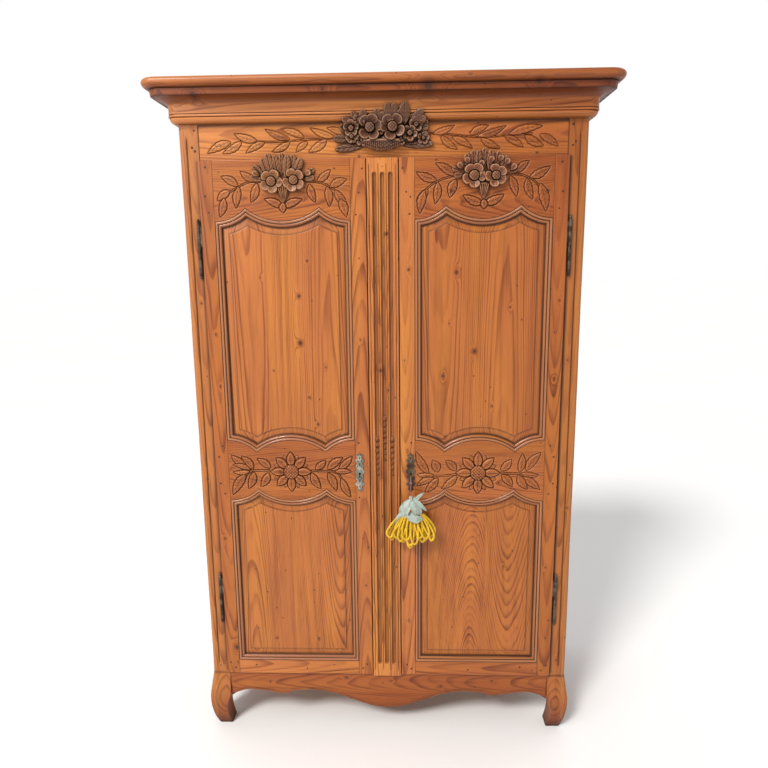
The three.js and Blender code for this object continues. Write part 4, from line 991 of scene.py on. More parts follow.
def middle_rail(side, seed, tone_and_shade):
    X, Z, z0, z1 = rail_grid(lambda x: MIDDLE_RAIL_LOW + lobe_line(x, 0),
                             lambda x: MIDDLE_RAIL_TOP - lobe_line(x, 0), rows=116)
    c = Carving(X, Z)
    sign = -1 if side == "left" else 1
    rows = SPRAYS[side]
    cut, lift = (0.0036, 0.0040) if side == "left" else (0.0030, 0.0026)
    spray(c, sign, rows["middle"], rows["middle_stems"], lift, cut, 5.5)
    x, z = rows["heart"]
    sunflower(c, (sign * x / 1000, z / 1000), rows["petal"], 0.0052 if side == "left" else 0.0042)
    gaps = [(X - FACE_INNER, 0.0005, True), (FACE_OUTER - X, 0.0005, True),
            (Z - z0, 0.0004, False), (z1 - Z, 0.0004, False)]
    door_board(side, "middle_rail", X, Z, gaps, c, seed, 0, f"{side}_middle_rail", tone_and_shade, lean=0.05)


def bottom_rail(side, seed, tone_and_shade, knots):
    xs = between(FACE_INNER, FACE_OUTER, 0.005)
    zs = between(DOOR_LOW, BOTTOM_RAIL_TOP, 0.003)
    X, Z = np.meshgrid(xs, zs)
    gaps = [(X - FACE_INNER, 0.0005, True), (FACE_OUTER - X, 0.0005, True),
            (Z - DOOR_LOW, 0.002, False), (BOTTOM_RAIL_TOP - Z, 0.0004, False)]
    door_board(side, "bottom_rail", X, Z, gaps, None, seed, 0, f"{side}_bottom_rail", tone_and_shade, knots)


def flowers(c, side):
    """The cluster on a door's top rail."""
    cluster = CLUSTERS[side]
    for k, (bx, bz, tx, tz, width) in enumerate(cluster["leaves"]):
        high = 0.010 + 0.010 * smoothstep(120, 20, abs(tx - cluster["middle"])) + 0.0035 * (k % 2)
        c.petal((bx / 1000, bz / 1000), (tx / 1000, tz / 1000), width / 1000, 0.004 + 0.003 * (k % 2), high,
                cup=0.003, blunt=0.42, rib=0.0024, drop=0.0075)
    m, z = cluster["bud"]
    c.petal((m, z + 0.002), (m, z + 0.050), 0.034, 0.004, 0.012, blunt=0.3, rib=0.0)
    for k in (-2, 2, -1, 1, 0):
        c.petal((m + k * 0.0012, z + 0.003), (m + k * 0.0066, z + 0.046), 0.0088, 0.006, 0.0175, blunt=0.3,
                rib=0.0, drop=0.006)
    for x, z, eye, angles in cluster["flowers"]:
        c.blossom((x / 1000, z / 1000), eye / 1000, angles, 0.0128, 0.009, 0.0235)
    for x, z, angle in cluster["petals"]:
        way = math.radians(angle)
        c.lobe((x / 1000 - 0.013 * math.cos(way), z / 1000 - 0.013 * math.sin(way)), way, 0.003, 0.026, 0.62,
               0.007, 0.020)


def basket(c):
    """A basket of flowers, on the frieze."""
    for bx, bz, tx, tz, width, low, high in (
        (23, 2050, 17, 2107, 26, 22, 40), (28, 2050, 40, 2106, 26, 22, 38), (68, 2045, 70, 2108, 32, 20, 41),
        (85, 2050, 124, 2088, 26, 14, 37), (92, 2046, 132, 2066, 26, 12, 34),
        (97, 2036, 141, 2042, 26, 10, 24),
        (91, 2015, 140, 2024, 25, 8, 20), (60, 1992, 156, 1995, 25, 8, 16),
        (-52, 2052, -55, 2090, 26, 16, 36),
        (-12, 2050, -13, 2092, 26, 20, 38), (-60, 2056, -90, 2083, 24, 12, 35),
        (-77, 2050, -117, 2066, 24, 10, 33),
        (-92, 2036, -127, 2046, 24, 10, 20), (-86, 2013, -146, 2014, 25, 8, 18),
        (-50, 1992, -143, 1983, 25, 8, 14),
        (0, 2050, 4, 2082, 24, 18, 36), (50, 2050, 56, 2088, 22, 18, 36), (105, 2052, 140, 2054, 20, 10, 20),
    ):
        c.petal((bx / 1000, bz / 1000), (tx / 1000, tz / 1000), width / 1000, low / 1000, high / 1000,
                cup=0.003, blunt=0.45, rib=0.0026, drop=0.0075)
    # the bowl, woven below a plain rim
    across = np.clip(np.abs(c.X - 0.001) / 0.066, 0, 1)
    low = 1.9765 + 0.022 * across**2.0
    inside = (c.Z > low) & (c.Z < 2.001) & (across < 1)
    bulge = 0.020 + 0.012 * np.sqrt(1 - across**2)
    rods = np.abs(np.sin((c.X - 0.001) * np.pi / 0.0062))
    weave = np.sin(c.Z * 2 * np.pi / 0.0095 + np.pi * np.floor((c.X - 0.001) / 0.0062))
    height = bulge * (0.7 + 0.3 * smoothstep(0, 0.01, c.Z - low)) + 0.0014 * rods + 0.0012 * weave
    # the weave darker between the rods, dirt and painted shade; the rim lighter, a painted highlight
    c.raise_by(np.where(inside, height, -1.0), 0.85 - 0.6 * rods + 0.25 * weave)
    rim_gap = np.abs(c.Z - 2.0035) / 0.0034
    edge = (rim_gap < 1) & (across < 0.98)
    c.raise_by(np.where(edge, bulge + 0.001 + 0.002 * np.sqrt(np.clip(1 - rim_gap**2, 0, 1)), -1.0), -0.35)
    for x, z, eye, radius, angles, low, top in (
        (-92, 2040, 8.5, 9.5, (90, 162, 234, 306, 18), 14, 29),
        (85, 2024, 8, 9.5, (60, 132, 204, 276, 348), 14, 30),
        (-91, 2018, 6.5, 8, (200, 250, 300, 350), 10, 22),
        (104, 2048, 6.5, 9, (90, 162, 234, 306, 18), 12, 28),
        (126, 2010, 5, 8.5, (80, 152, 224, 296, 8), 8, 22),
        (-1, 2024, 5.5, 8, (100, 172, 244, 316, 28), 16, 31),
        (-66, 2062, 5.5, 8, (60, 150, 230, 320), 14, 33), (58, 2008, 5, 8, (40, 120, 200, 290), 12, 27),
        (-60, 2006, 5, 8, (60, 140, 220, 300), 12, 26),
    ):
        c.blossom((x / 1000, z / 1000), eye / 1000, angles, radius / 1000, low / 1000, top / 1000)
    past = smoothstep(2.046, 2.058, c.Z) * (c.height > 0)
    c.height = np.where(past > 0, c.height + past * np.maximum(0.031 + 0.35 * (c.height - 0.020) - c.height,
                                                               0), c.height)
    c.blossom((-0.035, 2.040), 0.0140, (130, 70, 12, -62, -134), 0.0145, 0.018, 0.0445)
    c.blossom((0.033, 2.041), 0.0145, (128, 56, -27, -106, 176), 0.0145, 0.018, 0.0448)


# in mm: leaves are (base x, base z, tip x, tip z, width)
CLUSTERS = {
    "left": {
        "middle": -307, "bud": (-0.305, 1.826),
        "leaves": [
            (-361, 1903, -396, 1938, 25), (-365, 1894, -403, 1904, 22), (-245, 1899, -208, 1926, 25),
            (-242, 1893, -207, 1902, 20), (-352, 1905, -366, 1958, 27), (-338, 1902, -349, 1971, 30),
            (-284, 1902, -268, 1968, 28), (-272, 1904, -246, 1956, 27), (-318, 1898, -327, 1966, 27),
            (-297, 1896, -287, 1965, 27), (-309, 1902, -306, 1973, 22)],
        "flowers": [(-340, 1890, 14, (-147, -80, -8, 62, 135)),
                    (-271, 1893, 13.5, (-158, -104, -35, 40, 110))],
        "petals": [(-312, 1884, 80), (-228, 1912, 30), (-385, 1912, 150)]},
    "right": {
        "middle": 311, "bud": (0.3095, 1.828),
        "leaves": [
            (254, 1909, 213, 1922, 25), (250, 1902, 218, 1900, 20), (381, 1907, 412, 1920, 23),
            (266, 1912, 255, 1962, 26), (280, 1910, 274, 1971, 28), (292, 1910, 291, 1972, 24),
            (307, 1910, 308, 1978, 24), (324, 1910, 330, 1972, 26), (342, 1910, 354, 1968, 28),
            (358, 1908, 378, 1954, 26)],
        "flowers": [(279, 1899, 15, (-156, -86, -5, 60, 125)), (345, 1898, 12.5, (-175, -102, -33, 34, 100))],
        "petals": [(303, 1897, 80), (238, 1926, 130), (396, 1920, 50), (376, 1936, 60), (301, 1930, 90),
                   (259, 1940, 110), (330, 1942, 80), (357, 1945, 70)]},
}

PEGS = {"carcass": [], "left_door": [], "right_door": []}


def door(side):
    sign = -1 if side == "left" else 1
    seed = 3 if side == "left" else 61
    # each board's tone, set darker on the right and on the carved rails partly as painted shade
    tones_and_shade = {"left": (0.85, 1.02, 0.85, 0.84, 1.04), "right": (0.88, 1.10, 0.82, 0.93, 0.95)}[side]
    hinge_knots = {
        "left": [(-0.531, 0.3116, 0.0075), (-0.541, 1.42, 0.003), (-0.536, 1.25, 0.003),
                 (-0.55, 0.72, 0.004)],
        "right": [(0.545, 1.27, 0.004), (0.54, 0.62, 0.003), (0.552, 1.52, 0.003)]}[side]
    lock_knots = {"left": [(-0.075, 1.40, 0.003), (-0.07, 0.55, 0.003)],
                  "right": [(0.08, 1.62, 0.004), (0.073, 1.031, 0.0022), (0.076, 0.42, 0.003)]}[side]
    stile(side, "hinge_stile", FACE_OUTER, DOOR_OUTER, seed, tones_and_shade[0], hinge_knots)
    stile(side, "lock_stile", DOOR_INNER, FACE_INNER, seed + 1, tones_and_shade[1], lock_knots)
    top_rail(side, seed + 2, tones_and_shade[2])
    middle_rail(side, seed + 3, tones_and_shade[3])
    bottom_rail(side, seed + 4, tones_and_shade[4], [])
    if side == "left":
        knots = [(-0.27, 1.54, 0.0055), (-0.27, 1.39, 0.0075), (-0.245, 1.21, 0.0035), (-0.22, 1.12, 0.0045),
                 (-0.24, 1.65, 0.0035), (-0.36, 1.30, 0.003), (-0.39, 1.60, 0.0028), (-0.19, 1.31, 0.0028)]
        panel(side, "upper", seed + 5, knots, [-0.371], 1.0, 0.008, 0.16)
        panel(side, "lower", seed + 6, [(-0.24, 0.345, 0.004), (-0.387, 0.345, 0.0035)], [-0.305],
              1.0, 0.035, 0.1)
    else:
        knots = [(0.23, 1.61, 0.0055), (0.29, 1.36, 0.0065), (0.19, 1.28, 0.0045), (0.35, 1.18, 0.003),
                 (0.40, 1.50, 0.003), (0.21, 1.45, 0.0026)]
        panel(side, "upper", seed + 5, knots, [0.262], 1.0, 0.010, 0.14)
        panel(side, "lower", seed + 6, [(0.40, 0.62, 0.003)], [0.335], 1.0, 0.10, 0.09)
    moulding_ring(side, "upper")
    moulding_ring(side, "lower")
    m = sign * DOOR_MIDDLE
    relief(f"{side}_flower_cluster", (m - 0.108, m + 0.108, 1.80, 1.985), 0.0012, DOOR_FACE - 0.0003,
           lambda c: flowers(c, side), f"{side}_door", CARVED, seed + 8,
           replaces=f"{side}_flower_carving", slot="carved_pine")
    a = sign
    spots = [(0.545, 1.936), (0.550, 1.850), (0.541, 1.800), (0.541, 1.048), (0.554, 1.010), (0.554, 0.918),
             (0.541, 0.882), (0.556, 0.252), (0.538, 0.232), (0.073, 1.855), (0.083, 1.789), (0.062, 1.925),
             (0.087, 1.058), (0.087, 0.868), (0.085, 0.234), (0.464, 0.2436), (0.283, 0.2316), (0.07, 0.25)]
    PEGS[f"{side}_door"] += [(a * x, DOOR_FACE, z) for x, z in spots]


door("left")
door("right")

# ------------------------------------------------------------------ front of the carcass


def lines(value, at, width):
    """1 on the lines at the given places, falling off over a width."""
    return sum(np.exp(-(((value - x) / width) ** 2)) for x in at)


def front_post(sign):
    name = "right" if sign > 0 else "left"
    swell = spline([[0, -7], [38, 5], [80, 12], [118, 13], [160, 7], [205, 0]], 60) / 1000
    waist = spline([[0, 3], [38, 12], [72, 15], [102, 9], [130, 0], [205, 0]], 60) / 1000
    heights = np.concatenate([swell[:, 0], np.linspace(0.212, 2.052, 260), [POST_TOP - 0.001, POST_TOP]])
    out = np.interp(heights, swell[:, 0], swell[:, 1])
    cut = np.maximum(np.interp(heights, waist[:, 0], waist[:, 1]), 0)
    rows = []
    for z, o, k in zip(heights, out, cut):
        outer, face, inner, rear = HALF_BODY + o, FRONT - o, POST_INNER + k, FRONT + 0.06
        turn = np.linspace(0, np.pi / 2, 9)
        corner = np.stack([outer - 0.012 + 0.012 * np.cos(turn), face + 0.012 - 0.012 * np.sin(turn)], -1)
        side = np.stack([np.full(9, outer), np.linspace(rear, face + 0.012, 10)[:-1]], -1)
        flat = np.linspace(outer - 0.012, inner + 0.0018, 40)[1:]
        strip = np.stack([flat, np.full(len(flat), face)], -1)
        arc = np.linspace(0, np.pi / 2, 4)[1:]
        inside = np.stack([inner + 0.0018 - 0.0018 * np.sin(arc), face + 0.0018 - 0.0018 * np.cos(arc)], -1)
        back = np.array([[inner, face + 0.02], [inner, rear - 0.0015], [inner + 0.0015, rear],
                         [outer - 0.0015, rear]])
        rows.append(np.concatenate([side, corner, strip, inside, back]))
    section = np.asarray(rows)
    count = section.shape[1]
    X, Y = section[..., 0].copy(), section[..., 1].copy()
    Z = np.repeat(heights[:, None], count, 1)
    face = (Y < FRONT + 0.004) & (Z > 0.2)
    live = smoothstep(0.238, 0.252, Z) * smoothstep(2.03, 2.016, Z)
    groove = lines(X, [0.6005], 0.0021) * live
    ankle = np.exp(-(((Z - 0.207) / 0.003) ** 2)) * 0.0016
    Y = np.where(face, Y + 0.0030 * groove, Y) + np.where(Y < FRONT + 0.004, ankle, 0)
    wave = 0.0005 * np.sin(Z * 11 + sign) + 0.0003 * np.sin(Z * 37 + 2 * sign)
    Y = Y + wave * (Y < FRONT + 0.01)
    X = X + 0.0005 * np.sin(Z * 9 + 3 + sign) * (X > HALF_BODY - 0.004)
    points = np.stack([sign * X, Y, Z], -1).reshape(-1, 3)
    at = np.arange(len(points)).reshape(X.shape)
    faces = quads(np.concatenate([at, at[:, :1]], 1)) + [at[0].tolist(), at[-1][::-1].tolist()]
    dirt_and_shade = np.where(face, 0.9 * groove, 0.0)
    # painted shade on the post under the door's lip
    dirt_and_shade = np.maximum(dirt_and_shade, 0.85 * smoothstep(0.0045, 0.001, X - POST_INNER) * (Z > 0.2) * (Y < FRONT + 0.01))
    dirt_and_shade = np.maximum(dirt_and_shade, 0.55 * smoothstep(0.05, 0.0, Z))
    dirt_and_shade = np.maximum(dirt_and_shade, 0.7 * np.exp(-(((Z - 0.205) / 0.004) ** 2)))
    # a painted shadow of the door's edge on the post, darker on the right
    gap = smoothstep(0.5815, 0.5725, X) * (Y < FRONT + 0.01) * (Z > 0.215) * (Z < 1.957)
    dirt_and_shade = np.maximum(dirt_and_shade, (0.95 if sign > 0 else 0.75) * gap)
    dirt_and_shade = np.maximum(dirt_and_shade, smoothstep(0.022, 0.0, Z))
    edge = (X > HALF_BODY - 0.013) & (X < HALF_BODY - 0.002) & (Y < FRONT + 0.012)
    dirt_and_shade = np.where(edge & (dirt_and_shade < 0.1), -0.28, dirt_and_shade)
    knots = [(0.5933, 0.266, 0.004), (0.588, 1.33, 0.0035), (0.606, 0.83, 0.003)] if sign > 0 else [
        (-0.585, 1.52, 0.0035), (-0.60, 0.93, 0.003), (-0.582, 0.56, 0.0025)]
    marks = wood(points, 2, 1, 101 + sign, dirt_and_shade.ravel(), 0.97, knots=knots, reach=0.07)
    mesh_piece(f"front_post_body_{name}", points, faces, "carcass", OCHRE, slot="ochre_pine",
               replaces=f"front_post_{name}", sharp=30, **marks)
    PEGS["carcass"] += [(sign * x, FRONT, z) for x, z in ((0.585, 1.9955), (0.577, 1.985), (0.594, 0.187),
                                                         (0.576, 2.045))]


front_post(1)
front_post(-1)


def frieze():
    xs = between(-0.5622, 0.5622, 0.0019)
    zs = between(FRIEZE_LOW, POST_TOP, 0.0016)
    X, Z = np.meshgrid(xs, zs)
    c = Carving(X, Z)
    left = [
        (-281, 2015, -356, 2046, 21), (-235, 2018, -309, 2045, 21), (-143, 2019, -218, 2047, 21),
        (-106, 2022, -167, 2046, 21), (-382, 2012, -452, 2034, 24), (-463, 2010, -537, 1978, 26),
        (-429, 2011, -490, 1977, 23), (-358, 2007, -418, 1977, 21), (-281, 2007, -337, 1979, 21),
        (-226, 2006, -263, 1978, 19), (-167, 2014, -225, 1977, 25)]
    right = [
        (155, 2025, 221, 2048, 21), (267, 2020, 323, 2045, 22), (291, 2015, 376, 2044, 21),
        (384, 2018, 485, 2041, 25), (179, 2019, 230, 1978, 22), (213, 2014, 276, 1980, 22),
        (300, 2010, 359, 1979, 22), (372, 2014, 429, 1981, 22), (432, 2016, 490, 1984, 25),
        (477, 2017, 534, 1982, 22)]
    stems = [
        [(-112, 2019), (-170, 2015), (-235, 2013), (-281, 2010), (-336, 2008), (-382, 2010), (-432, 2013)],
        [(146, 2026), (191, 2023), (237, 2018), (300, 2012), (372, 2016), (417, 2018), (453, 2020)]]
    spray(c, 1, left + right, stems, 0.0018, 0.0028, 4.0)
    gaps = [(X + HALF_OPENING, 0.0005), (HALF_OPENING - X, 0.0005)]
    Y = FRONT - c.height
    dirt_and_shade = c.worn()
    for gap, radius in gaps:
        Y = Y + eased(gap, radius)
        dirt_and_shade = np.maximum(dirt_and_shade, 0.95 * np.clip(1 - gap / 0.0012, 0, 1))
    # a painted shadow of the cornice along the top of the frieze
    dirt_and_shade = np.maximum(dirt_and_shade, 0.92 * smoothstep(2.049, 2.060, Z))
    Y = Y + 0.0004 * np.sin(X * 13) * np.sin(Z * 40)
    points, faces = slab(X, Y, Z, [(FRONT + 0.03, None)])
    marks = wood(points, 0, 1, 131, dirt_and_shade.ravel(), 1.08, lean=0.02, reach=0.14,
                 knots=[(-0.07, 1.962, 0.003), (0.47, 1.965, 0.003)])
    mesh_piece("frieze_board", points, faces, "carcass", WAXED, slot="waxed_pine",
               replaces="frieze_rail", **marks)
    relief("basket_of_flowers", (-0.152, 0.162, 1.970, 2.115), 0.0012, FRONT - 0.0003, basket, "carcass",
           BASKET, 133, (2.0603, 0.0275), replaces="basket_carving", slot="dark_carving")


frieze()


def apron():
    end = HALF_OPENING
    scallop = spline([[1, 112], [0.955, 128], [0.88, 138], [0.78, 133], [0.68, 124], [0.625, 125]], 60)
    drop = spline([[0.62, 131], [0.54, 138], [0.44, 137], [0.33, 125], [0.2, 98], [0.09, 78], [0, 72]], 90)
    outline = np.concatenate([scallop, drop])[::-1]
    xs = between(-end, end, 0.0028)
    low = np.interp(np.abs(xs), outline[:, 0] * end, outline[:, 1] / 1000)
    v = np.concatenate([[0, 0.006, 0.02], np.linspace(0.05, 1, 34)])[:, None]
    Z = low + (APRON_TOP - low) * v
    X = np.tile(xs, (len(v), 1))
    above = Z - low
    dirt_and_shade = 0.25 * smoothstep(0.02, 0.0, above)
    line = np.exp(-(((above - 0.0085) / 0.0014) ** 2))
    Y = FRONT + eased(above, 0.003) + 0.0012 * line + 0.0004 * np.sin(X * 17) * np.sin(Z * 50)
    dirt_and_shade = np.maximum(dirt_and_shade, 0.55 * line)
    for gap in (X + end, end - X):
        Y = Y + eased(gap, 0.0005)
        dirt_and_shade = np.maximum(dirt_and_shade, 0.9 * np.clip(1 - gap / 0.0012, 0, 1))
    points, faces = slab(X, Y, Z, [(FRONT + 0.029, None), (FRONT + 0.03, None)])
    marks = wood(points, 0, 1, 141, dirt_and_shade.ravel(), 0.75, lean=0.04, reach=0.1,
                 knots=[(-0.1456, 0.189, 0.004), (0.189, 0.159, 0.004), (0.013, 0.177, 0.003),
                        (-0.42, 0.17, 0.003),
                        (0.37, 0.182, 0.0026)])
    mesh_piece("apron_board", points, faces, "carcass", WAXED, slot="waxed_pine",
               replaces="apron_rail", **marks)


apron()


def centre_post():
    half = 0.048
    xs = np.unique(np.round(np.concatenate([np.linspace(-half, half, 97), [-0.0476, 0.0476]]), 5))
    zs = np.concatenate([between(0.207, 0.93, 0.004)[:-2], np.arange(0.93, 1.17, 0.0015),
                         between(1.17, DOOR_TOP, 0.004)[2:]])
    X, Z = np.meshgrid(xs, zs)
    depth = np.zeros(X.shape)
    dirt_and_shade = np.zeros(X.shape)
    low, high = 0.253, 1.914
    for x in (-0.0245, 0, 0.0245):
        past = np.maximum(np.maximum(low + 0.007 - Z, Z - high + 0.007), 0)
        gap = np.hypot(X - x, past)
        well = np.sqrt(np.clip(0.0072**2 - gap**2, 0, None)) * 0.95
        depth = np.maximum(depth, well)
        dirt_and_shade = np.maximum(dirt_and_shade, 0.75 * smoothstep(0.0072, 0.0045, gap) - 0.25 * smoothstep(0.004, 0, gap))
        dirt_and_shade = np.where(np.abs(gap - 0.0082) < 0.0009, -0.35, dirt_and_shade)
    live = smoothstep(0.226, 0.236, Z) * smoothstep(1.944, 1.934, Z)
    bead = lines(np.abs(X), [0.0405, 0.01225], 0.0009) * live
    depth = depth + 0.0022 * bead
    dirt_and_shade = np.maximum(dirt_and_shade, 0.9 * bead)
    height = np.zeros(X.shape)
    for x, top, count in ((0, 1.155, 8), (-0.0245, 1.085, 7), (0.0245, 1.085, 7)):
        for k in range(count):
            z = top - 0.0205 * k
            size = 1.0 - 0.05 * k
            for lobe in (-0.55, 0.55, 0):
                c = Carving(X, Z)
                c.height[:] = -1
                c.petal((x, z), (x + lobe * 0.0095 * size, z - 0.0235 * size), 0.0085 * size, 0.001,
                        0.0095 if lobe else 0.0112, blunt=0.5, rib=0.0006)
                wins = c.height > height
                height = np.where(wins, c.height, height)
                dirt_and_shade = np.where(wins, c.dirt_and_shade + 0.25, dirt_and_shade)
    depth = np.where(height > 0, np.minimum(depth, 0.0078 - height), depth)
    for gap in (X + half, half - X):
        depth = depth + eased(gap, 0.0012)
    points, faces = slab(X, FRONT - 0.012 + depth, Z, [(FRONT - 0.0003, None)])
    # the body behind it, with a mortise for the bolt at each side
    slot_in, slot_low, slot_high = half - 0.015, LOCK_Z - 0.0085, LOCK_Z + 0.0085
    low, high = APRON_TOP + 0.0003, FRIEZE_LOW - 0.0003
    outline = [(-half, low), (half, low), (half, slot_low), (slot_in, slot_low), (slot_in, slot_high),
               (half, slot_high), (half, high), (-half, high), (-half, slot_high), (-slot_in, slot_high),
               (-slot_in, slot_low), (-half, slot_low)]
    block = np.array([[x, y, z] for y in (FRONT - 0.0003, FRONT + 0.03) for x, z in outline])
    caps = [[0, 1, 2, 3, 10, 11], [10, 3, 4, 9], [8, 9, 4, 5, 6, 7]]
    box_faces = caps + [[i + 12 for i in cap[::-1]] for cap in caps]
    box_faces += [[(i + 1) % 12, i, i + 12, (i + 1) % 12 + 12] for i in range(12)]
    points, faces = joined([(points, faces), (block, box_faces)])
    marks = wood(points, 2, 1, 151, dirt_and_shade.ravel(), 1.18, reach=0.08,
                 knots=[(0.012, 1.73, 0.0045), (-0.012, 1.30, 0.004), (0.013, 1.235, 0.003),
                        (0.036, 0.62, 0.003)])
    mesh_piece("centre_post_fluted", points, faces, "carcass", WAXED, slot="waxed_pine",
               replaces="centre_post", **marks)


centre_post()

# ------------------------------------------------------------------ cornice

# outwards and upwards in mm, and the dirt and painted shade (rubbing where it is negative)
CORNICE = [
    (-10, 0, 0), (4, 0, 0), (6, 0.2, 0.9), (9.5, 0.8, 0.6), (13.5, 2.4, 0.3), (17.6, 5, 0),
    (21, 8.6, 0), (23.2, 12.4, -0.25), (24, 15.6, 0), (23.2, 17.2, 0.7), (22.4, 18, 0.95),
    (24, 18.6, 0.6), (26.2, 19.6, 0), (27, 22, -0.25), (26.2, 24.4, 0), (24.6, 25.4, 0.6),
    (23.4, 26, 0.95), (25.4, 27, 0.4), (26, 28, -0.25), (26, 36, 0), (26, 45, 0), (26, 51, 0),
    (26.4, 53, 0.25), (27.8, 56.2, 0.4), (30.8, 60, 0.5), (35.2, 63.6, 0.5), (40.6, 66.4, 0.5),
    (46.5, 68.4, 0.55), (53, 69.9, 0.6), (59, 70.7, 0.8), (64, 71.1, 0.9), (65.4, 72.2, 0.5),
    (66, 76, 0), (67, 83, 0), (67.8, 88.6, 0.6), (66.4, 90.4, 0.98), (69, 91.6, 0.9), (74, 92.2, 0.5),
    (78.6, 94.2, 0), (82.2, 97.8, 0), (84.4, 102.4, -0.25), (85, 106.4, -0.25), (84.4, 110.6, -0.25),
    (82.2, 114.8, 0), (78.6, 118, 0), (74, 119.7, 0), (70, 120, 0), (20, 120, 0), (-10, 120, 0),
]


def cornice(name, places, seed, along, face, knots):
    """One length of the cornice, through places of (side, y or None at the corner, angle)."""
    rows = []
    for side, x, y, angle in places:
        for projection, height, _ in CORNICE:
            reach = (projection + 10) / 1000
            radius = min(reach, 0.028 + 0.14 * reach)
            middle = projection / 1000 - radius
            at_x = side * (HALF_BODY + middle) + radius * math.cos(angle) if x is None else x
            at_y = FRONT - middle + radius * math.sin(angle) if y is None else y
            if x is not None:
                at_y = FRONT - projection / 1000
            rows.append((at_x, at_y, CORNICE_BASE + height / 1000))
    count = len(CORNICE)
    points = np.asarray(rows)
    at = np.arange(len(points)).reshape(-1, count)
    faces = quads(np.concatenate([at, at[:, :1]], 1)) + [at[0].tolist(), at[-1][::-1].tolist()]
    grime_and_shade = [dirt_and_shade for _, _, dirt_and_shade in CORNICE]
    # painted shade and light along the profile: the cove and the fillet under the bullnose darker, the fascia
    # and the top of the bullnose lighter
    tone_and_shade = np.interp([height for _, height, _ in CORNICE], [51, 56, 71.1, 72.2, 90.4, 92, 112, 119],
                     [1.20, 0.84, 0.62, 0.58, 0.54, 0.70, 0.78, 1.0])
    marks = wood(points, along, face, seed, np.tile(grime_and_shade, len(places)), 1.0, reach=0.1, lean=0.02,
                 knots=knots)
    marks["mark"][:, 2] = np.tile(tone_and_shade, len(places)) * painted_shade_and_low_darkening(points)
    mesh_piece(f"cornice_{name}", points, faces, "carcass", WAXED, slot="waxed_pine",
               replaces="cornice_moulding", sharp=30, **marks)


def cornice_run():
    quarter = [-math.pi / 4 * k / 7 for k in range(8)]
    side = [(1, None, y, 0.0) for y in np.linspace(BACK, FRONT + 0.02, 26)]
    side += [(1, None, None, a) for a in quarter]
    front = [(1, None, None, -math.pi / 4 + a) for a in quarter]
    front += [(1, x, None, -math.pi / 2) for x in np.linspace(0.595, -0.595, 160)]
    front += [(-1, None, None, -math.pi / 2 + a) for a in quarter]
    knots = [(-0.5525, 2.134, 0.009), (-0.17, 2.141, 0.007), (0.138, 2.143, 0.013), (0.4565, 2.149, 0.008),
             (0.257, 2.168, 0.004)]
    cornice("front", front, 161, 0, 1, knots)
    cornice("right", side, 162, 1, 0, ())
    cornice("left", [(-1, None, y, math.pi - a) for _, _, y, a in side[::-1]], 163, 1, 0, ())


cornice_run()

# ------------------------------------------------------------------ plain boards of the carcass


def softened(node, material, seed, along, face, slot, tone_and_shade=1.0, width=0.0012, **extra):
    """A board like its CAD solid, with eased edges and the wood's attributes."""
    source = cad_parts[node]
    editable = bmesh.new()
    editable.from_mesh(source.data)
    bmesh.ops.remove_doubles(editable, verts=editable.verts, dist=1e-5)
    bmesh.ops.dissolve_limit(editable, angle_limit=0.01, verts=editable.verts, edges=editable.edges)
    edges = [e for e in editable.edges if e.is_manifold and e.calc_face_angle(0) > 0.5]
    bmesh.ops.bevel(editable, geom=edges, offset=width, segments=2, profile=0.5, affect="EDGES",
                    clamp_overlap=True)
    mesh = bpy.data.meshes.new(node + "_wood")
    editable.to_mesh(mesh)
    editable.free()
    piece = bpy.data.objects.new(node + "_wood", mesh)
    bpy.context.scene.collection.objects.link(piece)
    points = np.array([v.co for v in mesh.vertices])
    marks = wood(points, along, face, seed, tone_and_shade=tone_and_shade, **extra)
    return finish_mesh(piece, "carcass", material, replaces=node, slot=slot, sharp=40, **marks)


def carcass():
    for k, side in enumerate(("left", "right")):
        softened(f"rear_post_{side}", OCHRE, 201 + k, 2, 0, "ochre_pine")
        for j, name in enumerate(("top_rail", "middle_rail", "bottom_rail")):
            softened(f"side_{name}_{side}", WAXED, 205 + 3 * k + j, 1, 0, "waxed_pine", 0.95)
        softened(f"side_upper_panel_{side}", WAXED, 213 + k, 2, 0, "waxed_pine", 0.98, 0.0006,
                 splits=[-0.05, 0.12])
        softened(f"side_lower_panel_{side}", WAXED, 217 + k, 2, 0, "waxed_pine", 0.95, 0.0006,
                 splits=[0.02, 0.15])
        softened(f"shelf_cleat_{side}", RAW, 221 + k, 1, 0, "raw_pine")
        sign = -1 if side == "left" else 1
        PEGS[f"side_{side}"] = [(sign * HALF_BODY, y, z) for y in (-0.196, 0.27)
                                for z in (2.02, 1.98, 1.0, 0.965, 0.15, 0.12)]
    softened("back_top_rail", RAW, 225, 0, 1, "raw_pine")
    softened("back_bottom_rail", RAW, 226, 0, 1, "raw_pine")
    third = 0.5622 / 3
    softened("back_boards", RAW, 227, 2, 1, "raw_pine", 0.95, 0.0005,
             splits=[-2 * third, -third, 0, third, 2 * third])
    softened("floor_boards", RAW, 228, 0, 2, "raw_pine", splits=[-0.02, 0.13])
    softened("shelf", RAW, 229, 0, 2, "raw_pine", 1.02, splits=[0.05])
    softened("top_boards", RAW, 230, 0, 2, "raw_pine", 0.9, splits=[-0.03, 0.14])


carcass()

# ------------------------------------------------------------------ pegs


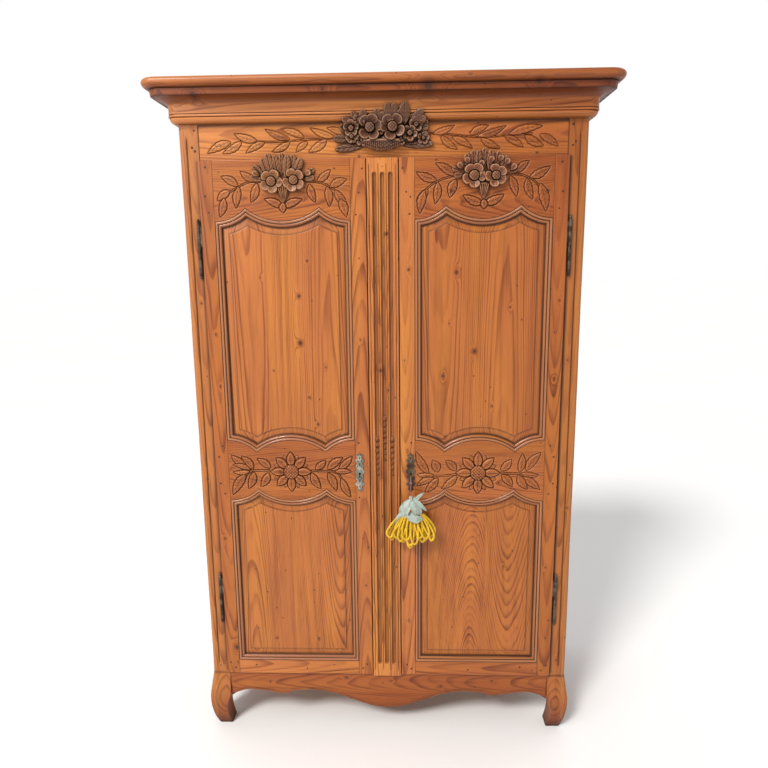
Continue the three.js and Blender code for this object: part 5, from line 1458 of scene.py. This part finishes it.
def peg(centre, seed):
    """The cut end of a peg: a worn, many-sided stub."""
    rng = np.random.default_rng(seed)
    x, y, z = centre
    sideways = abs(x) > 0.62
    radius = rng.uniform(0.0026, 0.0034) * (1.2 if abs(y - FRONT) < 0.001 else 1.0)
    angles = np.linspace(0, 2 * np.pi, 14, endpoint=False) + rng.uniform(0, 1)
    wobble = 1 + 0.12 * np.sin(angles * 3 + rng.uniform(0, 6))
    rings = []
    for share, out in ((1.0, -0.003), (1.0, 0.0002), (0.82, 0.0009), (0.4, 0.0011)):
        a = radius * share * wobble * np.cos(angles)
        b = radius * share * wobble * np.sin(angles)
        if sideways:
            rings.append(np.stack([np.full(14, x + math.copysign(out, x)), y + a, z + b], -1))
        else:
            rings.append(np.stack([x + a, np.full(14, y - out), z + b], -1))
    at = np.arange(56).reshape(4, 14)
    faces = quads(np.concatenate([at, at[:, :1]], 1)) + [at[0].tolist(), at[-1][::-1].tolist()]
    return np.concatenate(rings), faces


def pegs():
    number = 0
    for group, places in PEGS.items():
        parts = []
        for place in places:
            number += 1
            parts.append(peg(place, number))
        points, faces = joined(parts)
        body = group if group.endswith("door") else "carcass"
        marks = wood(points, 1, 0, 301, np.full(len(points), 0.15))
        mesh_piece(f"pegs_{group}", points, faces, body, PEG, slot="waxed_pine", **marks)


pegs()

# ------------------------------------------------------------------ hinges, locks and key


def knuckle(way):
    """The profile of half a hinge's barrel, way -1 for the post's half and 1 for the door's."""
    half = 0.080
    barrel = [(4.7, 0), (5.0, 0.6), (5.0, 30), (5.3, 31), (5.3, 33), (5.0, 34)]
    finial = [(5.0, 0), (5.0, 0.8), (3.6, 1.8), (3.0, 3.0), (3.4, 4.0), (4.8, 5.2), (5.1, 6.8), (4.8, 8.4),
              (3.6, 9.8), (2.4, 10.8), (2.0, 11.8), (2.4, 12.8), (1.9, 14.2), (0, 15)]
    profile = [(0, 0.001 * way)] + [(r / 1000, way * (h / 1000 + 0.0005)) for r, h in barrel]
    return profile + [(r / 1000, way * (half + h / 1000)) for r, h in finial]


def hinges():
    for side, sign in (("left", -1), ("right", 1)):
        for place, z in HINGE_HEIGHTS.items():
            centre = (sign * HINGE_X, HINGE_Y, z)
            for part, way, body in (("post", -1, "carcass"), ("door", 1, f"{side}_door")):
                points, faces = lathe(knuckle(way), centre, steps=24)
                blade = np.array([[-0.00125, 0, 0], [0.00125, 0, 0], [0.00125, 0.033, 0],
                                  [-0.00125, 0.033, 0]])
                span = (-0.072, -0.010) if part == "post" else (0.010, 0.072)
                if part == "door":
                    blade = blade[:, [1, 0, 2]] * [-sign, 1, 1]
                ring = [blade + [0, 0, h] + centre for h in span]
                cube = (np.concatenate(ring), [[0, 1, 2, 3], [7, 6, 5, 4], [0, 4, 5, 1], [1, 5, 6, 2],
                                               [2, 6, 7, 3], [3, 7, 4, 0]])
                points, faces = joined([(points, faces), cube])
                mesh_piece(f"{side}_{place}_{part}_knuckle", points, faces, body, IRON, slot="black_iron",
                           replaces=f"{side}_{place}_hinge_{part}_half", sharp=40)


hinges()


def weld(piece):
    """Joins the points of a piece that coincide."""
    editable = bmesh.new()
    editable.from_mesh(piece.data)
    bmesh.ops.remove_doubles(editable, verts=editable.verts, dist=1e-6)
    bmesh.ops.recalc_face_normals(editable, faces=editable.faces)
    editable.to_mesh(piece.data)
    editable.free()


def plate(side, material, slot):
    """An escutcheon: a pierced, scrolled outline with a keyhole and two pins."""
    sign = -1 if side == "left" else 1
    half = [(0, 67), (3, 64), (2.2, 60.5), (6, 58.5), (9.5, 61), (10.5, 57), (7, 53.5), (5.5, 49), (9, 45.5),
            (13.5, 44), (14.5, 39.5), (11.5, 36), (8.5, 32), (10.5, 27.5), (13, 23), (11, 18.5), (9.5, 13),
            (12, 8.5),
            (15.5, 4), (13.5, -2), (10.5, -8), (11, -14), (13.5, -19), (11.5, -24), (8.5, -29), (10, -34),
            (14.5, -38),
            (13.5, -43.5), (8, -46.5), (5.5, -51), (8, -55.5), (10, -59), (6, -60.5), (2.5, -60),
            (2.8, -64), (0, -67)]
    right = spline(half, 150)
    outline = np.concatenate([right, right[-2:0:-1] * [-1, 1]])
    holes = []
    turn = np.linspace(0, 2 * np.pi, 20, endpoint=False)
    for x, z, a, b in ((0, 50, 2.2, 4.5), (6, 39.5, 2.2, 3.4), (-6, 39.5, 2.2, 3.4), (0, 27, 2.4, 6),
                       (6.2, 21, 1.6, 2.8),
                       (-6.2, 21, 1.6, 2.8), (6, -18, 1.7, 3.2), (-6, -18, 1.7, 3.2), (0, -29, 2.3, 6),
                       (6.5, -38.5, 2, 3),
                       (-6.5, -38.5, 2, 3), (0, -50, 2, 4.2)):
        holes.append(np.stack([x + a * np.cos(turn), z + b * np.sin(turn)], -1))
    key_turn = np.linspace(-1.1, math.pi + 1.1, 22)
    keyhole = [(4.0 * math.cos(t), -4 + 4.0 * math.sin(t)) for t in key_turn]
    keyhole = np.asarray(keyhole + [(-1.9, -18), (1.9, -18)])
    holes.append(keyhole)
    curve = bpy.data.curves.new(f"{side}_plate", "CURVE")
    curve.dimensions = "2D"
    curve.fill_mode = "BOTH"
    curve.extrude = 0.0006
    curve.bevel_depth = 0.00035
    curve.bevel_resolution = 1
    for ring in [outline, *holes]:
        line = curve.splines.new("POLY")
        line.points.add(len(ring) - 1)
        for point, (x, z) in zip(line.points, ring):
            point.co = (x / 1000, z / 1000, 0, 1)
        line.use_cyclic_u = True
    shape = bpy.data.objects.new("shape", curve)
    bpy.context.scene.collection.objects.link(shape)
    mesh = bpy.data.meshes.new_from_object(shape.evaluated_get(bpy.context.evaluated_depsgraph_get()))
    bpy.data.objects.remove(shape)
    flat = np.array([v.co for v in mesh.vertices])
    bulge = 0.0012 * np.clip(1 - (flat[:, 0] / 0.016) ** 2, 0, 1)
    points = np.stack([sign * LOCK_X + flat[:, 0], DOOR_FACE - 0.0011 + flat[:, 2] - bulge,
                       LOCK_Z + 0.004 + flat[:, 1]], -1)
    faces = [list(p.vertices) for p in mesh.polygons]
    parts = [(points, faces)]
    for z in (56, -56):
        dome = [(0, 0.0), (2.6, 0.0), (2.6, 1.2), (2.0, 2.2), (1.0, 2.8), (0, 3.0)]
        profile = [(r / 1000, -h / 1000) for r, h in dome]
        parts.append(lathe(profile, (sign * LOCK_X, DOOR_FACE - 0.0012, LOCK_Z + 0.004 + z / 1000), "y", 14))
    points, faces = joined(parts)
    piece = mesh_piece(f"{side}_escutcheon_plate", points, faces, f"{side}_door", material,
                       replaces=f"{side}_escutcheon", slot=slot, sharp=40)
    weld(piece)


plate("left", SILVER, "silvered_metal")
plate("right", BRONZE, "aged_bronze")


def lock_bodies():
    for side in ("left", "right"):
        for node in (f"{side}_lock_case", f"{side}_bolt"):
            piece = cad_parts[node]
            piece.data.materials.clear()
            piece.data.materials.append(IRON)


lock_bodies()


def key():
    centre = np.array([LOCK_X, DOOR_FACE, LOCK_Z])
    turn = np.linspace(0, 2 * np.pi, 44, endpoint=False)
    tube = np.linspace(0, 2 * np.pi, 12, endpoint=False)
    rings = []
    for t in turn:
        middle = np.array([10.75 * math.cos(t), -42 + 8.75 * math.sin(t), 0])
        out = np.array([math.cos(t), math.sin(t), 0])
        rings.append([middle + out * 2.2 * math.cos(a) + np.array([0, 0, 1.9 * math.sin(a)]) for a in tube])
    bow = np.asarray(rings).reshape(-1, 3) / 1000
    at = np.arange(len(bow)).reshape(44, 12)
    at = np.concatenate([at, at[:1]])
    bow_faces = quads(np.concatenate([at, at[:, :1]], 1))
    shank = [(0, -33.5), (2.8, -33.4), (3.4, -32), (3.0, -30.8), (4.4, -29.6), (4.7, -28.4), (4.4, -27.2),
             (3.0, -26.2),
             (3.6, -25), (3.0, -23.8), (3.0, -2), (3.0, 20), (3.0, 37), (2.4, 38.3), (0, 38.5)]
    shaft = lathe([(r / 1000, h / 1000) for r, h in shank], (0, 0, 0), "y", 20)
    bit = np.array([[x, y, z] for x in (2, 11) for y in (31, 39) for z in (-1.2, 1.2)]) / 1000
    bit_faces = [[0, 1, 3, 2], [4, 6, 7, 5], [0, 4, 5, 1], [2, 3, 7, 6], [0, 2, 6, 4], [1, 5, 7, 3]]
    points, faces = joined([(bow, bow_faces), shaft, (bit, bit_faces)])
    mesh_piece("key_bow_and_shank", points + centre, faces, "key", BRONZE, slot="aged_bronze",
               replaces="key", sharp=50)


key()

# ------------------------------------------------------------------ tassel


def fringe():
    """Loops of thick twisted yarn, hung in two layers below the ribbon."""
    rng = np.random.default_rng(11)
    parts = []
    head = np.array([LOCK_X + 0.002, BAR_Y + 0.006, 0.832])
    loops = 26
    for k in range(loops):
        share = k / (loops - 1) * 2 - 1
        layer = k % 3
        wide = 0.068 * share + rng.uniform(-0.004, 0.004)
        length = 0.098 - 0.018 * abs(share) ** 2 + rng.uniform(-0.012, 0.010)
        if k == 11:
            length += 0.022
        span = rng.uniform(0.010, 0.017)
        depth = (-0.009, 0.001, 0.009)[layer] + rng.uniform(-0.002, 0.002)
        top = head + [share * 0.034, depth * 0.6, -abs(share) * 0.006]
        foot = head + [wide, depth, -length]
        one = top + [-0.004, -0.001, 0.004]
        other = top + [0.004, 0.001, 0.002]
        route = [one, one * 0.45 + foot * 0.55 + [-span * 0.8, -0.001, 0.008],
                 foot + [-span * 0.75, 0, 0.016], foot + [-span * 0.25, 0, 0.001],
                 foot + [span * 0.35, 0.001, 0.001], foot + [span * 0.8, 0.001, 0.018],
                 other * 0.45 + foot * 0.55 + [span * 0.8, 0.002, 0.010], other]
        path = spline(route, 72)
        parts.append(rope(path, 0.0036, 2, 0.0066, 10, 0.24))
    points, faces = joined(parts)
    points[:, 1] = np.clip(points[:, 1], -0.298, DOOR_FACE - 0.0008)
    mesh_piece("tassel_fringe", points, faces, "tassel", GOLD, slot="gold_fringe",
               replaces="tassel", sharp=80)


def strip(spine, widths, normal, fold=0.0, thick=0.0006):
    """A ribbon along a spine. Its width lies across the spine and the normal, and it may be folded."""
    line = spline(spine, 40)
    wide = np.interp(np.linspace(0, 1, 40), np.linspace(0, 1, len(widths)), widths)
    facing = spline(normal, 40)
    ahead = np.gradient(line, axis=0)
    ahead /= np.linalg.norm(ahead, axis=1)[:, None]
    across = np.cross(ahead, facing)
    across /= np.linalg.norm(across, axis=1)[:, None]
    out = np.cross(across, ahead)
    v = np.linspace(-1, 1, 13)
    grid = (line[:, None] + across[:, None] * (wide[:, None] / 2 * v)[..., None]
            + out[:, None] * (fold * (np.cos(v * np.pi * 1.5) - 0.2))[None, :, None])
    area = float(np.sum(np.linalg.norm(np.diff(line, axis=0), axis=1) * (wide[1:] + wide[:-1]) / 2))
    shift = out[:, None] * thick / 2
    front, rear = (grid + shift).reshape(-1, 3), (grid - shift).reshape(-1, 3)
    at = np.arange(len(front)).reshape(40, 13)
    faces = quads(at) + [[i + len(front) for i in face[::-1]] for face in quads(at)]
    edge = rim(at)
    faces += band(edge, edge + len(front))
    return (np.concatenate([front, rear]), faces), area


def ribbon():
    """A pale ribbon knotted over the fringe, with three cut tails."""
    y = BAR_Y + 0.004
    x0, z0 = LOCK_X + 0.003, 0.882
    n = (0, -1, 0)
    pieces = [
        ([(x0, y - 0.004, z0), (0.075, y - 0.012, 0.868), (0.062, y - 0.015, 0.848),
          (0.060, y - 0.012, 0.832),
          (0.072, y - 0.008, 0.824)], (0.010, 0.030, 0.036, 0.030, 0.014),
          [(0.3, -1, 0.3), (-0.5, -1, 0.2), (-0.6, -1, 0)], 0.0012),
        ([(x0, y - 0.004, z0), (0.094, y - 0.014, 0.866), (0.104, y - 0.016, 0.848),
          (0.108, y - 0.013, 0.834),
          (0.100, y - 0.008, 0.824)], (0.010, 0.030, 0.034, 0.030, 0.014),
          [(0, -1, 0.3), (0.5, -1, 0.2), (0.6, -1, 0)], 0.0012),
        ([(0.070, y - 0.010, 0.838), (0.086, y - 0.017, 0.826), (0.104, y - 0.017, 0.818),
          (0.122, y - 0.010, 0.820)],
         (0.014, 0.030, 0.028, 0.010), [(0, -1, 0.3), (0, -1, 0), (0.3, -1, 0)], 0.0010),
        ([(x0, y - 0.003, z0), (0.100, y - 0.008, 0.884), (0.114, y - 0.008, 0.896),
          (0.128, y - 0.004, 0.905)],
         (0.008, 0.015, 0.011, 0.0012), [n, n], 0.0006),
        ([(x0, y - 0.003, z0), (0.108, y - 0.009, 0.872), (0.122, y - 0.010, 0.858),
          (0.137, y - 0.006, 0.842)],
         (0.008, 0.014, 0.012, 0.0012), [n, n], 0.0006),
        ([(0.074, y - 0.006, 0.850), (0.052, y - 0.010, 0.834), (0.038, y - 0.009, 0.816),
          (0.029, y - 0.005, 0.796)],
         (0.010, 0.014, 0.010, 0.0012), [n, n], 0.0006),
        ([(0.078, y + 0.002, 0.866), (0.066, y + 0.006, 0.846), (0.070, y + 0.008, 0.826)],
         (0.016, 0.030, 0.018), [n, n], 0.0010),
        ([(0.094, y + 0.002, 0.866), (0.108, y + 0.006, 0.846), (0.104, y + 0.008, 0.826)],
         (0.016, 0.030, 0.018), [n, n], 0.0010),
    ]
    parts, total = [], 0.0
    for spine, widths, normal, fold in pieces:
        part, area = strip(spine, widths, normal, fold)
        parts.append(part)
        total += area
    points, faces = joined(parts)
    piece = mesh_piece("tassel_ribbon", points, faces, "tassel", RIBBON, slot="gold_fringe", sharp=80)
    profile = [(0, 9), (3.5, 8.6), (5.5, 6.5), (6.2, 3), (5.4, -1), (6.4, -4), (6.0, -7.5), (0, -9)]
    points, faces = lathe([(r / 1000, h / 1000) for r, h in profile], (LOCK_X, y - 0.005, 0.8845), steps=20)
    angle = np.arctan2(points[:, 1] - y + 0.005, points[:, 0] - LOCK_X)
    points[:, 2] += 0.0008 * np.sin(angle * 5)
    knot = mesh_piece("ribbon_knot", points, faces, "tassel", RIBBON, slot="gold_fringe", sharp=80)
    return piece, knot, total


fringe()
ribbon_piece, ribbon_knot, ribbon_area = ribbon()

# ------------------------------------------------------------------ floor and light


def graded(nodes, links, source, limits):
    """A value mapped from between the first two limits to between the last two."""
    node = nodes.new("ShaderNodeMapRange")
    for key, limit in zip(("From Min", "From Max", "To Min", "To Max"), limits):
        node.inputs[key].default_value = limit
    links.new(source, node.inputs["Value"])
    return node


def stage():
    s = Shader("pale_floor")
    place = s.add("TexCoord", output=3)
    cloud = s.noise(place, 0.8, 2)
    colour = s.mix(cloud, (0.87, 0.87, 0.87), (0.91, 0.91, 0.91))
    material = s.finish(colour, 0.8)
    mesh = bpy.data.meshes.new("floor")
    mesh.from_pydata([(-30, -12, -0.0005), (30, -12, -0.0005), (30, 60, -0.0005), (-30, 60, -0.0005)], [],
                     [(0, 1, 2, 3)])
    mesh.materials.append(material)
    floor = bpy.data.objects.new("floor", mesh)
    bpy.context.scene.collection.objects.link(floor)
    world = bpy.data.worlds.new("studio")
    bpy.context.scene.world = world
    world.use_nodes = True
    nodes, links = world.node_tree.nodes, world.node_tree.links
    way = nodes.new("ShaderNodeTexCoord")
    split = nodes.new("ShaderNodeSeparateXYZ")
    links.new(way.outputs["Generated"], split.inputs[0])
    fade = graded(nodes, links, split.outputs[1], (-0.25, 0.15, 0.0, 1.0))
    level = graded(nodes, links, split.outputs[2], (0.10, 0.40, 0.85, 0.20))
    links.new(level.outputs[0], fade.inputs["To Min"])
    links.new(fade.outputs[0], nodes["Background"].inputs["Strength"])
    nodes["Background"].inputs["Color"].default_value = (1, 1, 1, 1)
    sun = bpy.data.lights.new("key", "SUN")
    sun.energy = 2.35
    sun.angle = math.radians(14)
    sun.color = (1.0, 0.97, 0.93)
    lamp = bpy.data.objects.new("key", sun)
    lamp.rotation_euler = Vector((-0.55, -0.85, 0.95)).to_track_quat("Z", "Y").to_euler()
    bpy.context.scene.collection.objects.link(lamp)
    for name, where, size, power in (
            ("softbox_left", (-1.7, -1.9, 2.5), 1.1, 22), ("softbox_top", (-0.3, -1.2, 3.3), 1.0, 8)):
        light = bpy.data.lights.new(name, "AREA")
        light.shape = "RECTANGLE"
        light.size, light.size_y, light.energy = size, size * 1.4, power
        lamp = bpy.data.objects.new(name, light)
        lamp.location = where
        lamp.rotation_euler = (Vector(where) - Vector((0, 0, 1.1))).to_track_quat("Z", "Y").to_euler()
        bpy.context.scene.collection.objects.link(lamp)
    bpy.context.scene.view_settings.view_transform = "Standard"


stage()
